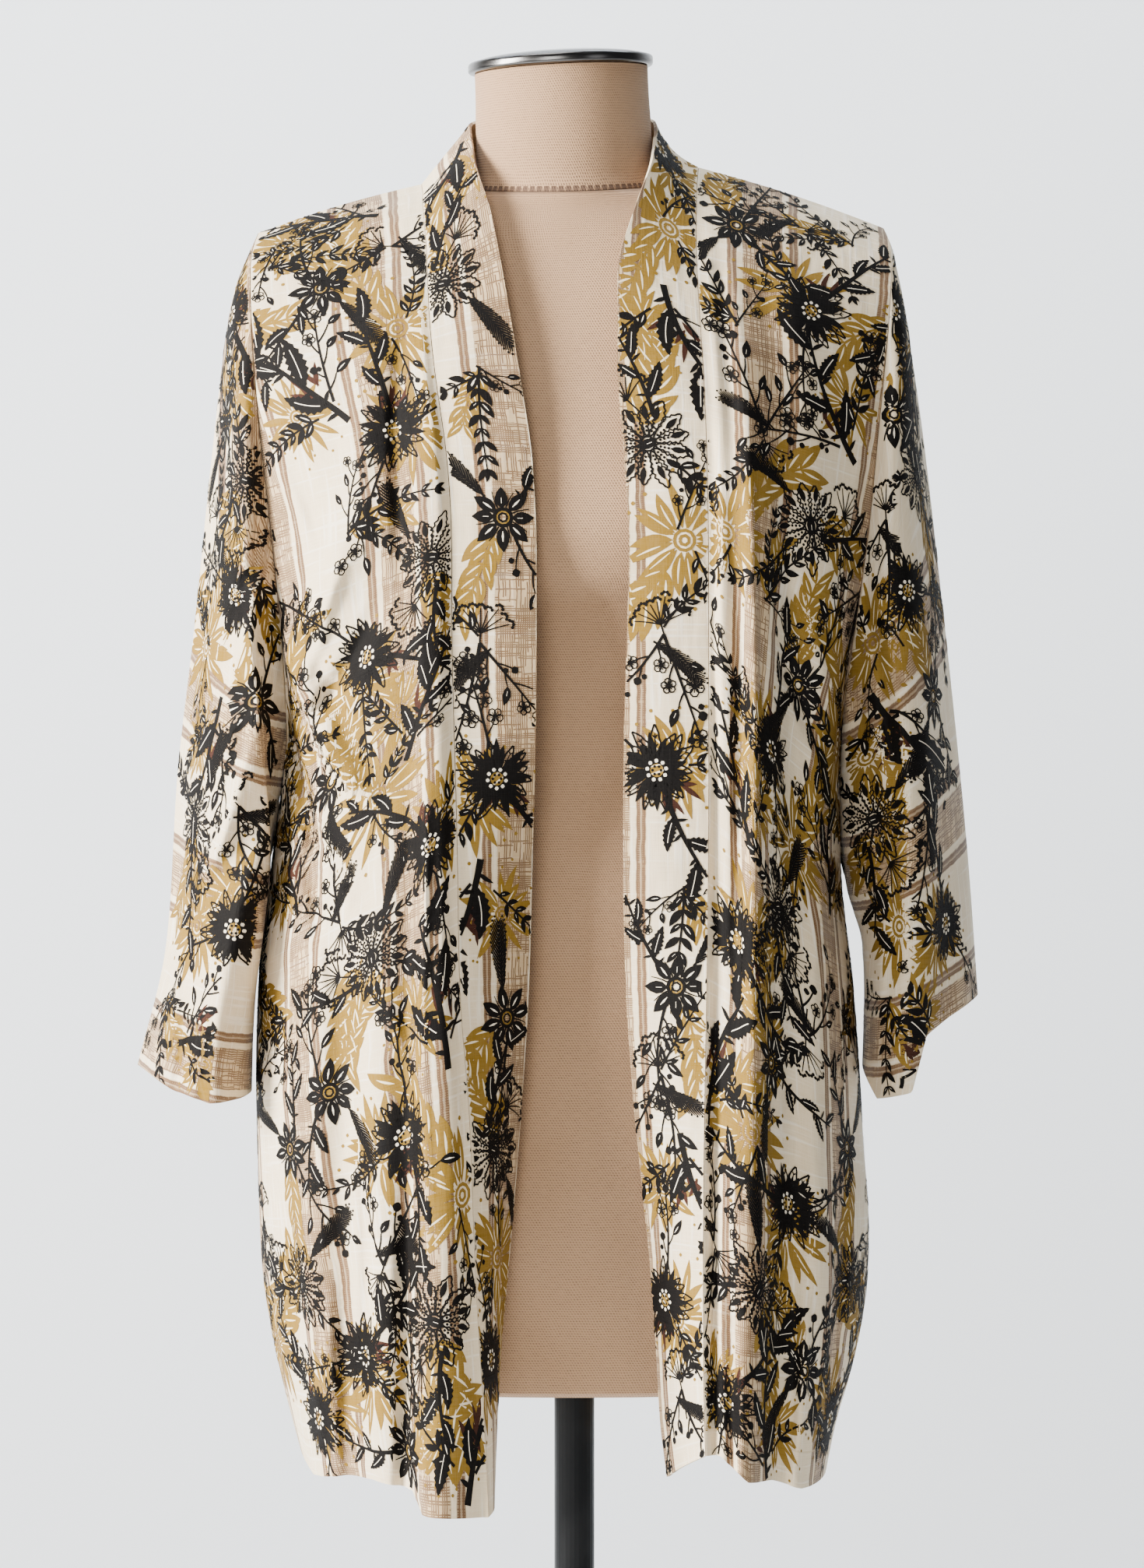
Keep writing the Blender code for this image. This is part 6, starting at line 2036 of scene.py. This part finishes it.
# %% [markdown]
# ## Studio
# A plain pale wall and floor. The strong light stands at the picture's left and is large, so that
# shadows have no hard edge: it makes the fronts bright at the left of the picture and grey at the
# right. Weak ones from the front, the right and above open the shadows, and one lights the wall.

# %% Stage and lights
def plane(name, centre, size, turn):
    """A square that belongs to the studio and not to the object."""
    mesh = bpy.data.meshes.new(name)
    half = size / 2
    corners = [(-half, -half, 0), (half, -half, 0), (half, half, 0), (-half, half, 0)]
    mesh.from_pydata(corners, [], [(0, 1, 2, 3)])
    obj = bpy.data.objects.new(name, mesh)
    obj.location = centre
    obj.rotation_euler = turn
    bpy.context.collection.objects.link(obj)
    return obj


material, tree, shader = new_material("studio_wall", 0.95)
where = add(tree, "ShaderNodeTexCoord").outputs["Object"]
clouds = noise(tree, where, 0.8)
tree.links.new(blend(tree, clouds, (0.70, 0.715, 0.73, 1), (0.76, 0.775, 0.79, 1)), shader.inputs["Base Color"])
plane("floor", (0, 0, 0), 8.0, (0, 0, 0)).data.materials.append(material)
# The wall is there from its front only, so that it doesn't hide the jacket's back.
wall_material = material.copy()
wall_material.name = "studio_wall_front"
tree = wall_material.node_tree
see_through = add(tree, "ShaderNodeMixShader")
wire(tree, add(tree, "ShaderNodeNewGeometry").outputs["Backfacing"], see_through.inputs["Fac"])
tree.links.new(tree.nodes["Principled BSDF"].outputs["BSDF"], see_through.inputs[1])
tree.links.new(add(tree, "ShaderNodeBsdfTransparent").outputs["BSDF"], see_through.inputs[2])
tree.links.new(see_through.outputs["Shader"], tree.nodes["Material Output"].inputs["Surface"])
plane("wall", (0, 2.1, 2.0), 12.0, (math.pi / 2, 0, 0)).data.materials.append(wall_material)


def area_light(name, place, aim, size, power, colour):
    data = bpy.data.lights.new(name, "AREA")
    data.shape = "RECTANGLE"
    data.size, data.size_y = size
    data.energy = power
    data.color = colour
    light = bpy.data.objects.new(name, data)
    light.location = place
    light.rotation_euler = (Vector(aim) - Vector(place)).to_track_quat("-Z", "Y").to_euler()
    bpy.context.collection.objects.link(light)


area_light("key", (-2.6, -1.15, 1.75), (0.0, 0, 1.0), (1.2, 1.3), 500, (1.0, 0.975, 0.94))
area_light("fill", (2.4, -2.6, 1.5), (0, 0, 0.9), (1.2, 1.2), 6, (0.95, 0.97, 1.0))
area_light("front", (-0.7, -3.2, 1.5), (0, 0, 0.85), (1.2, 1.2), 50, (1.0, 0.985, 0.965))
area_light("top", (-0.4, -0.5, 2.8), (0, 0, 1.0), (1.0, 0.8), 20, (1.0, 1.0, 1.0))
area_light("wall_light", (0.0, 0.6, 2.9), (0, 2.1, 0.9), (3.0, 0.8), 84, (0.80, 0.90, 1.0))
world = bpy.data.worlds.new("studio")
world.use_nodes = True
world.node_tree.nodes["Background"].inputs["Color"].default_value = (0.90, 0.94, 1.0, 1)
tree = world.node_tree
# Weak as a light, and pale where the camera sees past the floor in the side and back views.
wire(tree, sum_of(tree, "MULTIPLY_ADD", add(tree, "ShaderNodeLightPath").outputs["Is Camera Ray"], 1.3, 0.11),
     tree.nodes["Background"].inputs["Strength"])
bpy.context.scene.world = world
print("studio ready")

# %% [markdown]
# ## Cloth facts
# The size of what shows of each sheet, laid flat, is worked out and printed. The widths and lengths
# come from the cloth coordinates above, so they follow the table of seams.

def cut_of(piece, places):
    """Width and length of the flat piece, and the area of its outer face."""
    along_row, of_row = places
    mesh = piece.data
    sizes = np.zeros(len(mesh.polygons))
    mesh.polygons.foreach_get("area", sizes)
    outer = float(sizes[:(along_row.shape[0] - 1) * (along_row.shape[1] - 1)].sum())
    width = float(np.ptp(along_row, axis=1).max())
    length = float(of_row[-1])
    if outer > width * length:
        length = outer / width
    return width, length, outer


for name, piece in garment.items():
    width, length, area = cut_of(piece, flat[name])
    print(f"{piece.name}: cut {width:.3f} x {length:.3f} m, {area:.3f} m2")
